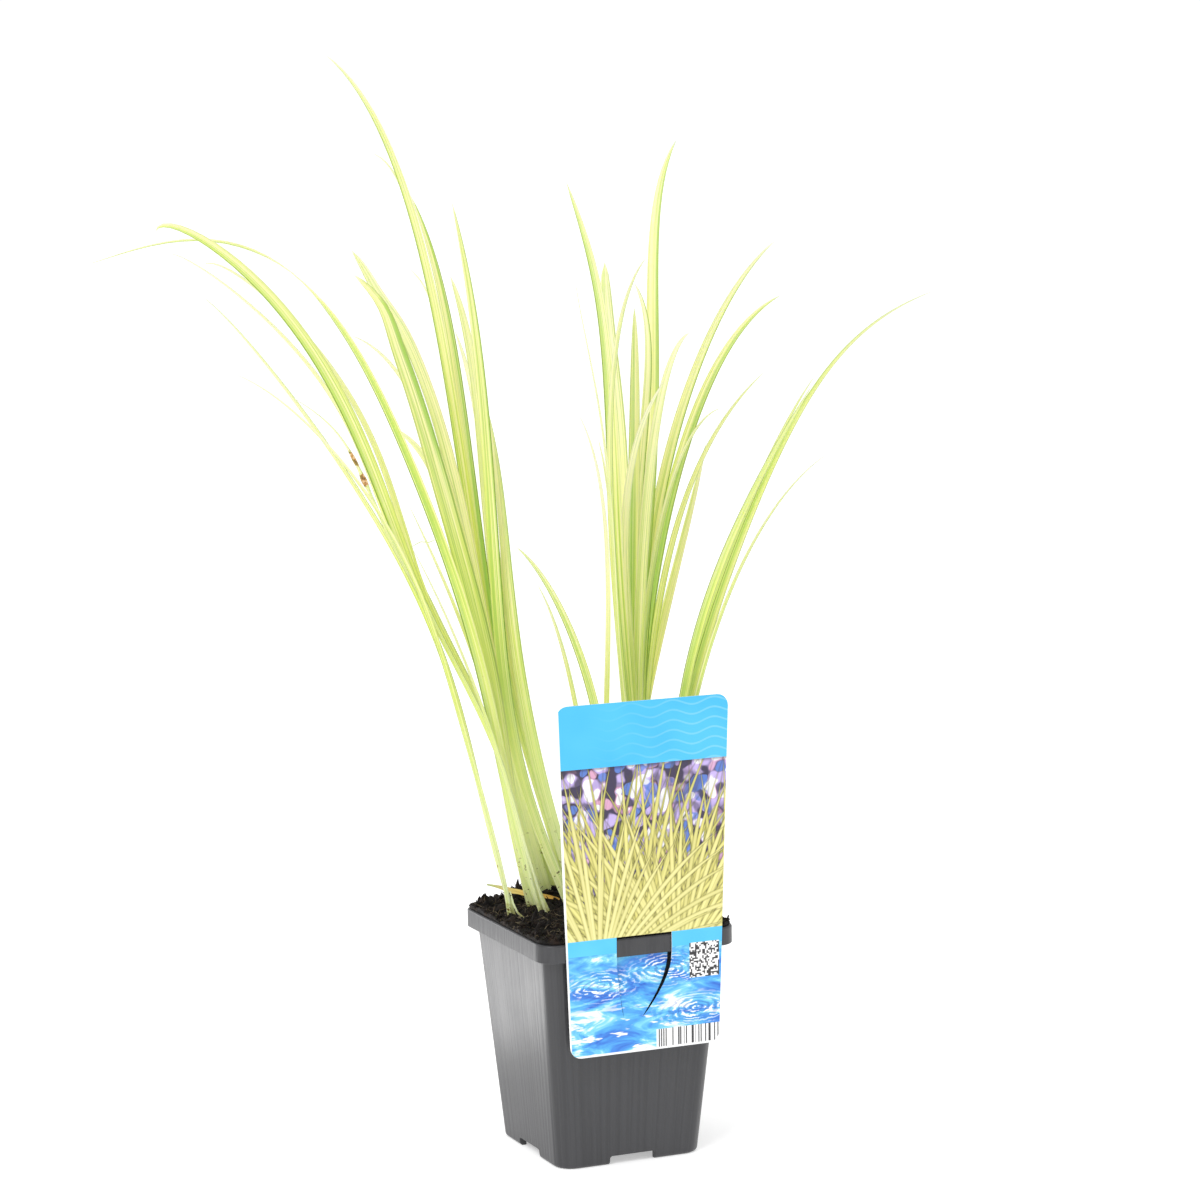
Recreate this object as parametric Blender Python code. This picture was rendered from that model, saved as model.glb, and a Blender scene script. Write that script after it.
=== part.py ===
"""A square nursery pot with a golden variegated sweet flag in it: pot, soil, plant tag and every leaf.

Units are metres, with +Z up. The origin is the centre of the pot's underside, on the floor.
The pot's sides face along X and Y, and the plant tag hangs on the side that faces -Y.
The leaves are laid out in millimetres in the plant's own frame, which is turned by PLANT_TURN about Z:
across runs along the row of shoots, back runs away from the tag, and up is Z.
"""

import math

import bmesh
import bpy
from mathutils import Matrix, Vector, noise

MM = 0.001

# Gap kept between neighbouring pieces
GAP = 0.3 * MM

# Pot: half widths are measured from the middle to a flat side
POT_HEIGHT = 100 * MM
RIM_HALF = 45 * MM
RIM_SKIRT = 7.8 * MM
RIM_THICKNESS = 1.2 * MM
RIM_CORNER = 7.5 * MM
WALL_TOP_HALF = 41.9 * MM
BASE_HALF = 33.2 * MM
BASE_CORNER = 8.8 * MM
BASE_EDGE = 1.8 * MM
WALL_THICKNESS = 1.0 * MM
FLOOR_UNDERSIDE = 4.0 * MM
FLOOR_THICKNESS = 1.2 * MM
FOOT_RING = 1.8 * MM
CORNER_STEPS = 4

# Openings in the pot's foot and floor
NOTCH_WIDTH = 21 * MM
NOTCH_HEIGHT = 3.7 * MM
PAD_RADIUS = 7 * MM
DRAIN_RADIUS = 4 * MM
DRAIN_OFFSET = 17 * MM

# Soil, heaped a little over the rim
SOIL_EDGE_HALF = 44.2 * MM
SOIL_EDGE_UP = 101 * MM
SOIL_HEAP = 4.5 * MM
SOIL_LUMP = 2.2 * MM
SOIL_LUMP_SIZE = 11 * MM
SOIL_CRUMB = 1.0 * MM
SOIL_CRUMB_SIZE = 4.5 * MM
SOIL_RINGS = 9
SOIL_RING_SPREAD = 1.1
SOIL_SIDE_STEPS = 6
SOCKET_BOTTOM = 94.2 * MM
SOCKET_ROOM = 2.6

# Plant tag, a plastic card that widens upwards; its tongue hooks up behind the rim's skirt
TAG_THICKNESS = 0.4 * MM
TAG_CENTRE = 0.8 * MM
TAG_BOTTOM = 51.3 * MM
TAG_TOP = 200 * MM
TAG_RIM_HALF = 36 * MM
TAG_WIDENING = 0.033
TAG_CORNER = 5 * MM
TAG_BACK = -(RIM_HALF + GAP)
TONGUE_FOOT = 65.7 * MM
TONGUE_FOOT_LEFT = -9 * MM
TONGUE_FOOT_RIGHT = -0.8 * MM
TONGUE_TOP = 98.3 * MM
WINDOW_TOP = 101 * MM
WINDOW_BOTTOM = 92.8 * MM
WINDOW_LEFT = -12 * MM
WINDOW_RIGHT = 12.9 * MM
CUT_LEFT = 0.3 * MM
CUT_RIGHT = 0.8 * MM
TONGUE_BACK = 2.6 * MM
TONGUE_STEPS = 9

# Plant frame
PLANT_TURN = math.radians(-24.1)
SOIL_LEVEL = 102
LEAF_FOOT_UP = 96
LEAN_RISE = 300
LEAN_POWER = 1.5

# Leaf form, in millimetres
LAYER_PITCH = 1.0
SIDE_OFFSET = 1.5
FOOT_HALF_WIDTH = 2.3
LEAF_THICKNESS = 0.6
MIDRIB_FOLD = 0.25
LEAF_STATIONS = 18
TURN_POWER = 1.3
SPREAD_SHARE = 0.4
TAPER_BLUNTNESS = 0.7

# Each shoot: its foot (across, back), then its leaves from the front layer to the back one.
# A leaf: the places that draw it along from its foot, the last of them its tip, all (across, up),
# how far it leans back at LEAN_RISE above the soil, its width at the foot and in full, its blade's turn at
# the tip in degrees, and how late it tapers.
SHOOTS = {
    "front_shoot": (
        (-36, -4),
        [
            ([(-38, 139), (-81, 232), (-47, 228), (-106, 325), (-148, 338)], -60, 2.0, 2.2, 30, 2.5),
            ([(-52, 150), (-67, 234), (-54, 227), (-130, 348), (-159, 369)], -45, 2.0, 2.8, -30, 3),
        ],
    ),
    "left_shoot": (
        (-25, 4),
        [
            ([(-36, 146), (-38, 169), (-57, 227), (-76, 264)], -66, 1.0, 1.4, 20, 4),
            (
                [(-50, 143), (-23, 196), (-46, 172), (-120, 298), (-73, 297), (-127, 329)],
                -54, 1.4, 2.4, -40, 3,
            ),
            (
                [(-48, 159), (-5, 225), (-170, 234), (2, 290), (-169, 421), (-177, 395)],
                -43, 1.8, 6.0, 20, 5,
            ),
            (
                [(-44, 142), (-45, 199), (-42, 326), (-114, 197), (-49, 468), (-169, 390), (-209, 381)],
                -35, 4.6, 5.8, -65, 2.5,
            ),
            (
                [(-54, 158), (23, 176), (-203, 305), (25, 224), (-148, 400), (-160, 380)],
                -30, 1.2, 3.2, 40, 4,
            ),
            ([(-35, 142), (-41, 194), (-59, 237), (-78, 279)], -25, 2.0, 2.0, 30, 4),
            (
                [(-65, 171), (55, 137), (-240, 348), (24, 227), (-156, 388), (-176, 385)],
                -18, 1.4, 3.2, -35, 3,
            ),
            ([(-47, 138), (-30, 242), (-70, 232), (-63, 339), (-100, 375)], -9, 4.6, 7.2, 20, 9),
            ([(-48, 184), (-41, 180), (-52, 334), (-102, 349)], -2, 3.2, 3.2, -35, 5),
        ],
    ),
    "back_shoot": (
        (-18, 27),
        [
            ([(-41, 167), (-54, 242), (-54, 327), (-102, 384)], 6, 4.6, 5.0, -20, 9),
            ([(-57, 159), (-18, 160), (-65, 229), (-50, 289), (-87, 308)], 16, 4.6, 5.2, 15, 6),
            ([(-45, 152), (-51, 281), (-61, 286), (-62, 427), (-114, 467)], 28, 4.6, 4.6, 20, 5),
            ([(-42, 163), (-42, 209), (-59, 286), (-52, 348), (-78, 406)], 42, 4.6, 4.9, -25, 8),
            ([(-39, 220), (-53, 154), (-57, 418), (-97, 424)], 58, 2.6, 2.6, 40, 6),
            ([(-28, 164), (-66, 214), (-48, 350), (-81, 373)], 76, 2.6, 2.6, -40, 6),
        ],
    ),
    "small_shoot": (
        (5, -9),
        [
            ([(4, 166), (0, 189), (16, 277), (-6, 320)], -62, 2.5, 2.5, 30, 4),
            ([(0, 139), (-5, 164), (-8, 218), (-24, 247)], -48, 2.4, 2.4, 30, 4),
            ([(1, 145), (15, 161), (-9, 242), (-33, 262)], -34, 4.0, 4.0, -25, 5),
        ],
    ),
    "middle_shoot": (
        (-8, 13),
        [
            ([(-45, 181), (-40, 186), (-44, 296), (-44, 341), (-58, 405)], -8, 4.6, 5.2, 20, 5),
            ([(-20, 141), (-43, 212), (-33, 259), (-45, 318)], 4, 4.6, 5.2, -30, 6),
            ([(-28, 172), (-56, 222), (-37, 310), (-61, 373)], 18, 3.8, 3.8, 30, 8),
            ([(-23, 160), (-51, 211), (-36, 290), (-59, 349)], 34, 4.2, 4.2, -30, 8),
        ],
    ),
    "right_shoot": (
        (15, 6),
        [
            ([(33, 200), (-15, 172), (27, 278), (0, 318), (-7, 378)], -56, 1.5, 1.5, -40, 4),
            ([(14, 202), (13, 192), (-8, 349), (23, 383)], -45, 2.9, 2.9, 35, 6),
            ([(23, 178), (8, 192), (2, 319), (19, 336), (-10, 414)], -33, 4.4, 4.4, -25, 8),
            ([(16, 157), (23, 209), (-4, 281), (30, 330)], -22, 4.2, 4.2, 30, 6),
            ([(19, 191), (17, 170), (16, 339), (40, 350)], -11, 4.6, 4.6, -20, 6),
            ([(14, 160), (15, 228), (18, 294), (18, 360)], -1, 4.6, 4.8, 20, 9),
            ([(8, 145), (39, 222), (-12, 240), (42, 329), (18, 370)], 10, 4.3, 4.3, -30, 9),
            ([(22, 177), (12, 145), (19, 308), (55, 316)], 19, 3.0, 3.0, 50, 6),
            ([(27, 148), (-7, 256), (56, 270), (7, 378), (37, 429)], 29, 4.6, 5.0, -20, 7),
            ([(19, 134), (17, 255), (21, 247), (35, 351), (80, 386)], 40, 4.6, 5.0, 20, 3.5),
            ([(32, 201), (-6, 141), (27, 313), (6, 306), (6, 377)], 49, 4.6, 6.0, -20, 14),
            ([(20, 151), (6, 190), (14, 258), (2, 302)], 59, 2.8, 2.8, 35, 5),
            ([(17, 134), (15, 256), (30, 228), (30, 338), (83, 361)], 70, 4.6, 5.6, -20, 5),
            ([(17, 156), (22, 220), (28, 290), (76, 328)], 82, 3.2, 3.2, 40, 5),
            ([(13, 163), (19, 190), (37, 249), (49, 297)], 95, 3.9, 3.9, -25, 5),
        ],
    ),
    "far_right_shoot": (
        (26, -8),
        [
            ([(36, 157), (35, 193), (57, 276), (96, 302)], -66, 2.2, 2.2, 40, 3),
            ([(37, 169), (25, 209), (60, 279), (90, 330)], -50, 4.1, 4.1, -30, 3.5),
            ([(38, 165), (24, 214), (83, 289), (71, 345), (142, 369)], -32, 4.6, 5.0, 20, 1.3),
            ([(33, 135), (35, 235), (45, 214), (66, 295), (93, 332)], -12, 3.6, 3.6, -40, 3.5),
        ],
    ),
}


# Dead leaf lying on the soil behind the left shoot: points (across, up) at one distance back
FALLEN_BACK = 18.5
FALLEN_PATH = [(-48, 111), (-41, 109.6), (-34, 108.6), (-27, 108.2), (-20, 108.4), (-15, 108.0)]
FALLEN_WIDTH = 1.8
FALLEN_THICKNESS = 0.5


def clear_scene():
    for obj in list(bpy.data.objects):
        bpy.data.objects.remove(obj, do_unlink=True)


def principled(name, colour, roughness, metallic=0.0):
    material = bpy.data.materials.new(name)
    material.use_nodes = True
    shader = material.node_tree.nodes["Principled BSDF"]
    shader.inputs["Base Color"].default_value = (*colour, 1)
    shader.inputs["Roughness"].default_value = roughness
    shader.inputs["Metallic"].default_value = metallic
    return material


def add_object(name, bm, material, smooth_angle=None):
    """Makes a mesh object from bm, with its faces pointing out."""
    bmesh.ops.recalc_face_normals(bm, faces=bm.faces)
    mesh = bpy.data.meshes.new(name)
    bm.to_mesh(mesh)
    bm.free()
    if smooth_angle is not None:
        mesh.shade_smooth()
        mesh.set_sharp_from_angle(angle=math.radians(smooth_angle))
    if material:
        mesh.materials.append(material)
    obj = bpy.data.objects.new(name, mesh)
    bpy.context.scene.collection.objects.link(obj)
    return obj


def rounded_square(half, corner, side_steps=1):
    """Points (x, y) round a square of that half width, anticlockwise from the +X side."""
    inner = half - corner
    points = []
    for quarter in range(4):
        turn = Matrix.Rotation(quarter * math.pi / 2, 2)
        for step in range(CORNER_STEPS + 1):
            angle = step / CORNER_STEPS * math.pi / 2
            x = inner + corner * math.cos(angle)
            y = inner + corner * math.sin(angle)
            points.append(turn @ Vector((x, y)))
        for step in range(1, side_steps):
            x = inner - 2 * inner * step / side_steps
            points.append(turn @ Vector((x, half)))
    return points


def add_ring(bm, points, z):
    return [bm.verts.new((p.x, p.y, z)) for p in points]


def bridge(bm, lower, upper):
    """Quads between two rings of the same number of points."""
    count = len(lower)
    for i in range(count):
        j = (i + 1) % count
        bm.faces.new((lower[i], lower[j], upper[j], upper[i]))


def loft(bm, rings):
    """Bridges each ring to the next and closes both ends."""
    for lower, upper in zip(rings, rings[1:]):
        bridge(bm, lower, upper)
    bm.faces.new(rings[0])
    bm.faces.new(rings[-1])


def add_cutter(name, bm):
    cutter = add_object(name, bm, None)
    cutter.hide_render = True
    cutter.display_type = "WIRE"
    return cutter


def cut(obj, cutter):
    modifier = obj.modifiers.new(cutter.name, "BOOLEAN")
    modifier.operation = "DIFFERENCE"
    modifier.object = cutter


def box_cutter(name, low, high):
    bm = bmesh.new()
    bmesh.ops.create_cube(bm, size=1)
    size = Vector(high) - Vector(low)
    bmesh.ops.scale(bm, vec=size, verts=bm.verts)
    bmesh.ops.translate(bm, vec=(Vector(high) + Vector(low)) / 2, verts=bm.verts)
    return add_cutter(name, bm)


def round_cutter(name, centre, radius_x, radius_y, low, high, turn=0.0, drift=0.0):
    """An elliptical bar whose top stands drift to the side of its bottom, before the turn about Z."""
    bm = bmesh.new()
    bmesh.ops.create_cone(
        bm, cap_ends=True, segments=16, radius1=1, radius2=1, depth=high - low
    )
    bmesh.ops.scale(bm, vec=(radius_x, radius_y, 1), verts=bm.verts)
    top = [v for v in bm.verts if v.co.z > 0]
    bmesh.ops.translate(bm, vec=(drift, 0, 0), verts=top)
    bmesh.ops.rotate(bm, cent=(0, 0, 0), matrix=Matrix.Rotation(turn, 3, "Z"), verts=bm.verts)
    bmesh.ops.translate(bm, vec=(centre[0], centre[1], (low + high) / 2), verts=bm.verts)
    return add_cutter(name, bm)


def wall_half(z):
    """Half width of the pot's outer wall at height z."""
    return BASE_HALF + (WALL_TOP_HALF - BASE_HALF) * z / POT_HEIGHT


def wall_corner(z):
    return BASE_CORNER + (RIM_CORNER - BASE_CORNER) * z / POT_HEIGHT


def pot_profile():
    """(half width, corner radius, height) from the floor's top, up inside, and down outside to the foot."""
    floor_top = FLOOR_UNDERSIDE + FLOOR_THICKNESS
    skirt_bottom = POT_HEIGHT - RIM_SKIRT
    under_rim = POT_HEIGHT - RIM_THICKNESS
    edge = 0.5 * RIM_THICKNESS
    skirt_inner = RIM_HALF - RIM_THICKNESS
    foot_inner = BASE_HALF - FOOT_RING
    return [
        (wall_half(floor_top) - WALL_THICKNESS, wall_corner(floor_top) - WALL_THICKNESS, floor_top),
        (WALL_TOP_HALF - WALL_THICKNESS, RIM_CORNER - 2 * WALL_THICKNESS, POT_HEIGHT),
        (RIM_HALF - edge, RIM_CORNER, POT_HEIGHT),
        (RIM_HALF, RIM_CORNER + edge, POT_HEIGHT - edge),
        (RIM_HALF, RIM_CORNER + edge, skirt_bottom),
        (skirt_inner, RIM_CORNER - edge, skirt_bottom),
        (skirt_inner, RIM_CORNER - edge, under_rim),
        (wall_half(under_rim), RIM_CORNER - WALL_THICKNESS, under_rim),
        (wall_half(BASE_EDGE), wall_corner(BASE_EDGE), BASE_EDGE),
        (BASE_HALF - 0.3 * BASE_EDGE, BASE_CORNER, 0.3 * BASE_EDGE),
        (BASE_HALF - BASE_EDGE * 0.6, BASE_CORNER - BASE_EDGE * 0.6, 0),
        (foot_inner - BASE_EDGE * 0.5, BASE_CORNER - FOOT_RING, 0),
        (foot_inner - BASE_EDGE * 0.5, BASE_CORNER - FOOT_RING, FLOOR_UNDERSIDE),
    ]


def circle_like(points, radius):
    """A circle with one point in the direction of each of the given points."""
    return [p.normalized() * radius for p in points]


def build_pot(material):
    bm = bmesh.new()
    rings = [add_ring(bm, rounded_square(half, corner), z) for half, corner, z in pot_profile()]
    round_points = circle_like(rounded_square(BASE_HALF, BASE_CORNER), PAD_RADIUS)
    rings.append(add_ring(bm, round_points, FLOOR_UNDERSIDE))
    rings.append(add_ring(bm, round_points, 0))
    loft(bm, rings)
    pot = add_object("pot", bm, material, smooth_angle=35)

    reach = BASE_HALF * 1.2
    inside = BASE_HALF * 0.8
    half = NOTCH_WIDTH / 2
    drop = -1 * MM
    cut(pot, box_cutter("notch_right", (inside, -half, drop), (reach, half, NOTCH_HEIGHT)))
    cut(pot, box_cutter("notch_left", (-reach, -half, drop), (-inside, half, NOTCH_HEIGHT)))
    cut(pot, box_cutter("notch_back", (-half, inside, drop), (half, reach, NOTCH_HEIGHT)))
    cut(pot, box_cutter("notch_front", (-half, -reach, drop), (half, -inside, NOTCH_HEIGHT)))
    low = FLOOR_UNDERSIDE - 0.5 * MM
    high = FLOOR_UNDERSIDE + FLOOR_THICKNESS + 0.5 * MM
    for number, (x, y) in enumerate([(1, 1), (-1, 1), (-1, -1), (1, -1)]):
        centre = (x * DRAIN_OFFSET, y * DRAIN_OFFSET)
        cut(pot, round_cutter(f"drain_{number}", centre, DRAIN_RADIUS, DRAIN_RADIUS, low, high))
    return pot


def soil_height(x, y):
    """Height of the soil's top: a low heap with lumps and crumbs, level at the rim."""
    reach = min(1.0, max(abs(x), abs(y)) / SOIL_EDGE_HALF)
    inward = 1 - reach**3
    lump = noise.noise(Vector((x, y, 0)) / SOIL_LUMP_SIZE) * SOIL_LUMP
    crumb = noise.noise(Vector((x, y, SOIL_LUMP)) / SOIL_CRUMB_SIZE) * SOIL_CRUMB
    return SOIL_EDGE_UP + SOIL_HEAP * inward + lump * (0.3 + 0.7 * inward) + crumb


def to_world(across, back):
    """World x, y in metres of a place in the plant's frame in millimetres."""
    place = Matrix.Rotation(PLANT_TURN, 2) @ Vector((across, back))
    return place * MM


def mean_slope(foot, leaves):
    """How far the leaves of a shoot run across for each step up, just above the soil."""
    firsts = [leaf[0][0] for leaf in leaves]
    slopes = [(across - foot[0]) / (up - LEAF_FOOT_UP) for across, up in firsts]
    return sum(slopes) / len(slopes)


def cut_socket(soil, name, foot, leaves):
    """The hollow that a shoot's leaves stand in, slanted as they slant."""
    high = SOIL_EDGE_UP + 5 * SOIL_HEAP
    radius_x = (SIDE_OFFSET + FOOT_HALF_WIDTH + SOCKET_ROOM) * MM
    radius_y = (len(leaves) / 2 * LAYER_PITCH + SOCKET_ROOM) * MM
    drift = mean_slope(foot, leaves) * (high - SOCKET_BOTTOM)
    cutter = round_cutter(
        name + "_socket", to_world(*foot), radius_x, radius_y, SOCKET_BOTTOM, high, PLANT_TURN, drift
    )
    cut(soil, cutter)


def build_soil(material):
    bm = bmesh.new()
    bottom = FLOOR_UNDERSIDE + FLOOR_THICKNESS + GAP
    inset = WALL_THICKNESS + GAP
    over_rim = POT_HEIGHT + GAP
    side = [
        (wall_half(bottom) - inset, wall_corner(bottom) - inset, bottom),
        (wall_half(POT_HEIGHT) - inset, RIM_CORNER - 2 * WALL_THICKNESS, over_rim),
        (SOIL_EDGE_HALF, RIM_CORNER, over_rim),
    ]
    rings = [add_ring(bm, rounded_square(half, corner, SOIL_SIDE_STEPS), z) for half, corner, z in side]
    for number in range(SOIL_RINGS):
        share = 1 - (number / SOIL_RINGS) ** SOIL_RING_SPREAD
        half = (SOIL_EDGE_HALF - 0.4 * MM) * share
        points = rounded_square(half, RIM_CORNER * share, SOIL_SIDE_STEPS)
        rings.append([bm.verts.new((p.x, p.y, soil_height(p.x, p.y))) for p in points])
    loft(bm, rings)
    bmesh.ops.triangulate(bm, faces=bm.faces)
    soil = add_object("soil", bm, material)
    for name, (foot, leaves) in SHOOTS.items():
        cut_socket(soil, name, foot, leaves)
    return soil


def tag_half(z):
    return TAG_RIM_HALF + TAG_WIDENING * (z - POT_HEIGHT)


def tag_outline():
    """Points (x, z) round the card, anticlockwise, with rounded corners."""
    corners = [
        (1, TAG_BOTTOM, -90),
        (1, TAG_TOP, 0),
        (-1, TAG_TOP, 90),
        (-1, TAG_BOTTOM, 180),
    ]
    points = []
    for side, z, start in corners:
        inward = 1 if z == TAG_BOTTOM else -1
        centre_x = side * (tag_half(z) - TAG_CORNER)
        centre_z = z + inward * TAG_CORNER
        for step in range(6):
            angle = math.radians(start + 18 * step)
            x = TAG_CENTRE + centre_x + TAG_CORNER * math.cos(angle)
            points.append((x, centre_z + TAG_CORNER * math.sin(angle)))
    return points


def tongue_edges(z):
    """Left and right x of the cut that frees the tongue, at height z."""
    t = min(1, (z - TONGUE_FOOT) / (WINDOW_BOTTOM - TONGUE_FOOT))
    left = TONGUE_FOOT_LEFT + (WINDOW_LEFT - TONGUE_FOOT_LEFT) * math.sin(t * math.pi / 2)
    right = TONGUE_FOOT_RIGHT + (WINDOW_RIGHT - TONGUE_FOOT_RIGHT) * math.sin(t * math.pi / 2)
    return left, right


def tongue_depth(z):
    """How far the tongue has bent back from the card at height z."""
    t = min(1, (z - TONGUE_FOOT) / (WINDOW_BOTTOM - TONGUE_FOOT))
    return TONGUE_BACK * (3 * t**2 - 2 * t**3)


def build_tag(material):
    bm = bmesh.new()
    y = TAG_BACK - TAG_THICKNESS / 2
    outline = [bm.verts.new((x, y, z)) for x, z in tag_outline()]
    heights = [
        TONGUE_FOOT + (WINDOW_BOTTOM - TONGUE_FOOT) * step / (TONGUE_STEPS - 1)
        for step in range(TONGUE_STEPS)
    ]
    foot = [
        bm.verts.new((TONGUE_FOOT_LEFT, y, TONGUE_FOOT)),
        bm.verts.new((TONGUE_FOOT_RIGHT, y, TONGUE_FOOT)),
    ]
    left_hole = [foot[0]]
    right_hole = [foot[1]]
    tongue = [foot]
    for z in heights[1:] + [WINDOW_TOP]:
        left, right = tongue_edges(z)
        left_hole.append(bm.verts.new((left - CUT_LEFT / 2, y, z)))
        right_hole.append(bm.verts.new((right + CUT_RIGHT / 2, y, z)))
        tongue_z = min(z, TONGUE_TOP)
        back = y + tongue_depth(z)
        tongue.append([
            bm.verts.new((left + CUT_LEFT / 2, back, tongue_z)),
            bm.verts.new((right - CUT_RIGHT / 2, back, tongue_z)),
        ])
    hole = left_hole + right_hole[::-1]
    edges = [bm.edges.new(pair) for pair in zip(outline, outline[1:] + outline[:1])]
    edges += [bm.edges.new(pair) for pair in zip(hole, hole[1:] + hole[:1])]
    bmesh.ops.triangle_fill(bm, use_beauty=True, use_dissolve=False, edges=edges)
    for lower, upper in zip(tongue, tongue[1:]):
        bm.faces.new((lower[0], lower[1], upper[1], upper[0]))
    tag = add_object("plant_tag", bm, material)
    thickness = tag.modifiers.new("card", "SOLIDIFY")
    thickness.thickness = TAG_THICKNESS
    thickness.offset = 0
    return tag


def leaf_back(up, foot_back, lean):
    """How far back a leaf stands at height up: upright at the soil, and leaning more with height."""
    rise = max(0.0, up - SOIL_LEVEL) / LEAN_RISE
    return foot_back + lean * rise**LEAN_POWER


def leaf_half_width(t, foot_width, width, lateness):
    """Half width along the leaf: its foot, then its full width, and the taper to its tip."""
    spread = min(1.0, t / SPREAD_SHARE)
    spread = (spread * spread * (3 - 2 * spread)) ** 2
    body = foot_width + (width - foot_width) * spread
    return 0.5 * body * (1 - t**lateness) ** TAPER_BLUNTNESS


def leaf_path(foot, leaf):
    """Points along the leaf's middle, from the foot to the tip."""
    drawn_to, lean = leaf[:2]
    frame = [Vector((foot[0], LEAF_FOOT_UP))] + [Vector(place) for place in drawn_to]
    points = []
    for station in range(LEAF_STATIONS + 1):
        t = station / LEAF_STATIONS
        places = frame
        while len(places) > 1:
            places = [a.lerp(b, t) for a, b in zip(places, places[1:])]
        place = places[0]
        points.append(Vector((place.x, leaf_back(place.y, foot[1], lean), place.y)))
    return points


def leaf_section(path, station, half_width, turn):
    """Four points round the blade: two edges, and the midrib on each face."""
    after = path[min(station + 1, len(path) - 1)]
    before = path[max(station - 1, 0)]
    along = (after - before).normalized()
    sideways = along.cross(Vector((0, 1, 0))).normalized()
    sideways = Matrix.Rotation(turn, 3, along) @ sideways
    face = sideways.cross(along)
    here = path[station]
    half_thick = LEAF_THICKNESS / 2
    fold = min(MIDRIB_FOLD, 0.15 * half_width)
    return [
        here + sideways * half_width,
        here + face * (fold + half_thick),
        here - sideways * half_width,
        here + face * (fold - half_thick),
    ]


def build_leaf(name, foot, leaf, material, parent):
    foot_width, width, turn_degrees, lateness = leaf[2:]
    tip_turn = math.radians(turn_degrees)
    path = leaf_path(foot, leaf)
    bm = bmesh.new()
    rings = []
    for station in range(LEAF_STATIONS):
        t = station / LEAF_STATIONS
        turn = tip_turn * t**TURN_POWER
        half_width = leaf_half_width(t, foot_width, width, lateness)
        points = leaf_section(path, station, half_width, turn)
        rings.append([bm.verts.new(p * MM) for p in points])
    for lower, upper in zip(rings, rings[1:]):
        bridge(bm, lower, upper)
    bm.faces.new(rings[0])
    tip = bm.verts.new(path[-1] * MM)
    last = rings[-1]
    for i in range(len(last)):
        bm.faces.new((last[i], last[(i + 1) % len(last)], tip))
    obj = add_object(name, bm, material)
    obj.parent = parent
    return obj


def build_shoot(name, foot, leaves, material, parent):
    """A fan of leaves: each in its own layer, standing to the left and right of the foot in turn."""
    for number, leaf in enumerate(leaves):
        side = SIDE_OFFSET if number % 2 else -SIDE_OFFSET
        layer = (number - (len(leaves) - 1) / 2) * LAYER_PITCH
        leaf_foot = (foot[0] + side, foot[1] + layer)
        build_leaf(f"{name}_leaf_{number + 1}", leaf_foot, leaf, material, parent)


def build_fallen_leaf(material, parent):
    path = [Vector((across, FALLEN_BACK, up)) for across, up in FALLEN_PATH]
    half_thick = FALLEN_THICKNESS / 2
    bm = bmesh.new()
    rings = []
    for number, here in enumerate(path):
        share = number / (len(path) - 1)
        half_width = FALLEN_WIDTH / 2 * (0.35 + 0.65 * math.sin(math.pi * (0.1 + 0.8 * share)))
        rings.append([
            bm.verts.new((here + Vector((0, half_width, 0))) * MM),
            bm.verts.new((here + Vector((0, 0, half_thick))) * MM),
            bm.verts.new((here - Vector((0, half_width, 0))) * MM),
            bm.verts.new((here - Vector((0, 0, half_thick))) * MM),
        ])
    loft(bm, rings)
    obj = add_object("fallen_leaf", bm, material)
    obj.parent = parent
    return obj


def main():
    clear_scene()
    pot_plastic = principled("pot_plastic", (0.09, 0.09, 0.095), 0.45)
    soil_brown = principled("soil", (0.035, 0.024, 0.016), 0.95)
    tag_plastic = principled("tag_plastic", (0.25, 0.6, 0.9), 0.35)
    leaf_green = principled("leaf", (0.62, 0.76, 0.2), 0.5)
    dry_leaf = principled("dry_leaf", (0.72, 0.5, 0.14), 0.75)
    build_pot(pot_plastic)
    build_soil(soil_brown)
    build_tag(tag_plastic)
    plant = bpy.data.objects.new("plant_frame", None)
    plant.rotation_euler = (0, 0, PLANT_TURN)
    bpy.context.scene.collection.objects.link(plant)
    for name, (foot, leaves) in SHOOTS.items():
        build_shoot(name, foot, leaves, leaf_green, plant)
    build_fallen_leaf(dry_leaf, plant)


main()
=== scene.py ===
"""A golden variegated sweet flag in its square nursery pot, with a plastic plant tag on the rim.

Metres, +Z up, the origin under the middle of the pot. The tables are in millimetres. Places on the plant are
in its own frame, as in the CAD: across runs along the row of shoots, back runs away from the tag.
"""

import math
import random

import bmesh
import bpy
import numpy as np
from mathutils import Euler, Matrix, Vector, noise


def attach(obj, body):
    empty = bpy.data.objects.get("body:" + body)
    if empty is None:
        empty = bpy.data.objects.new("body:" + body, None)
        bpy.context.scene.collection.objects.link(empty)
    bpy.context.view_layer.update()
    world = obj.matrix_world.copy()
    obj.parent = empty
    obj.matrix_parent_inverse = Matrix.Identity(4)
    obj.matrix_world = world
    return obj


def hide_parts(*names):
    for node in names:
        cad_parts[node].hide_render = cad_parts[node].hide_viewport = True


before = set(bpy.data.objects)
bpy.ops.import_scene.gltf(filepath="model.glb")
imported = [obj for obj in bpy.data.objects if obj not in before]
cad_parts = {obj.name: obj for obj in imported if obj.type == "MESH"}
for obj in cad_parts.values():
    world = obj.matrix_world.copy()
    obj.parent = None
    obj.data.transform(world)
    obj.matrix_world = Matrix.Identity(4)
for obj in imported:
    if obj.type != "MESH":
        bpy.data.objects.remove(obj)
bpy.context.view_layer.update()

MM = 0.001
PLANT_TURN = math.radians(-24.1)

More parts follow.
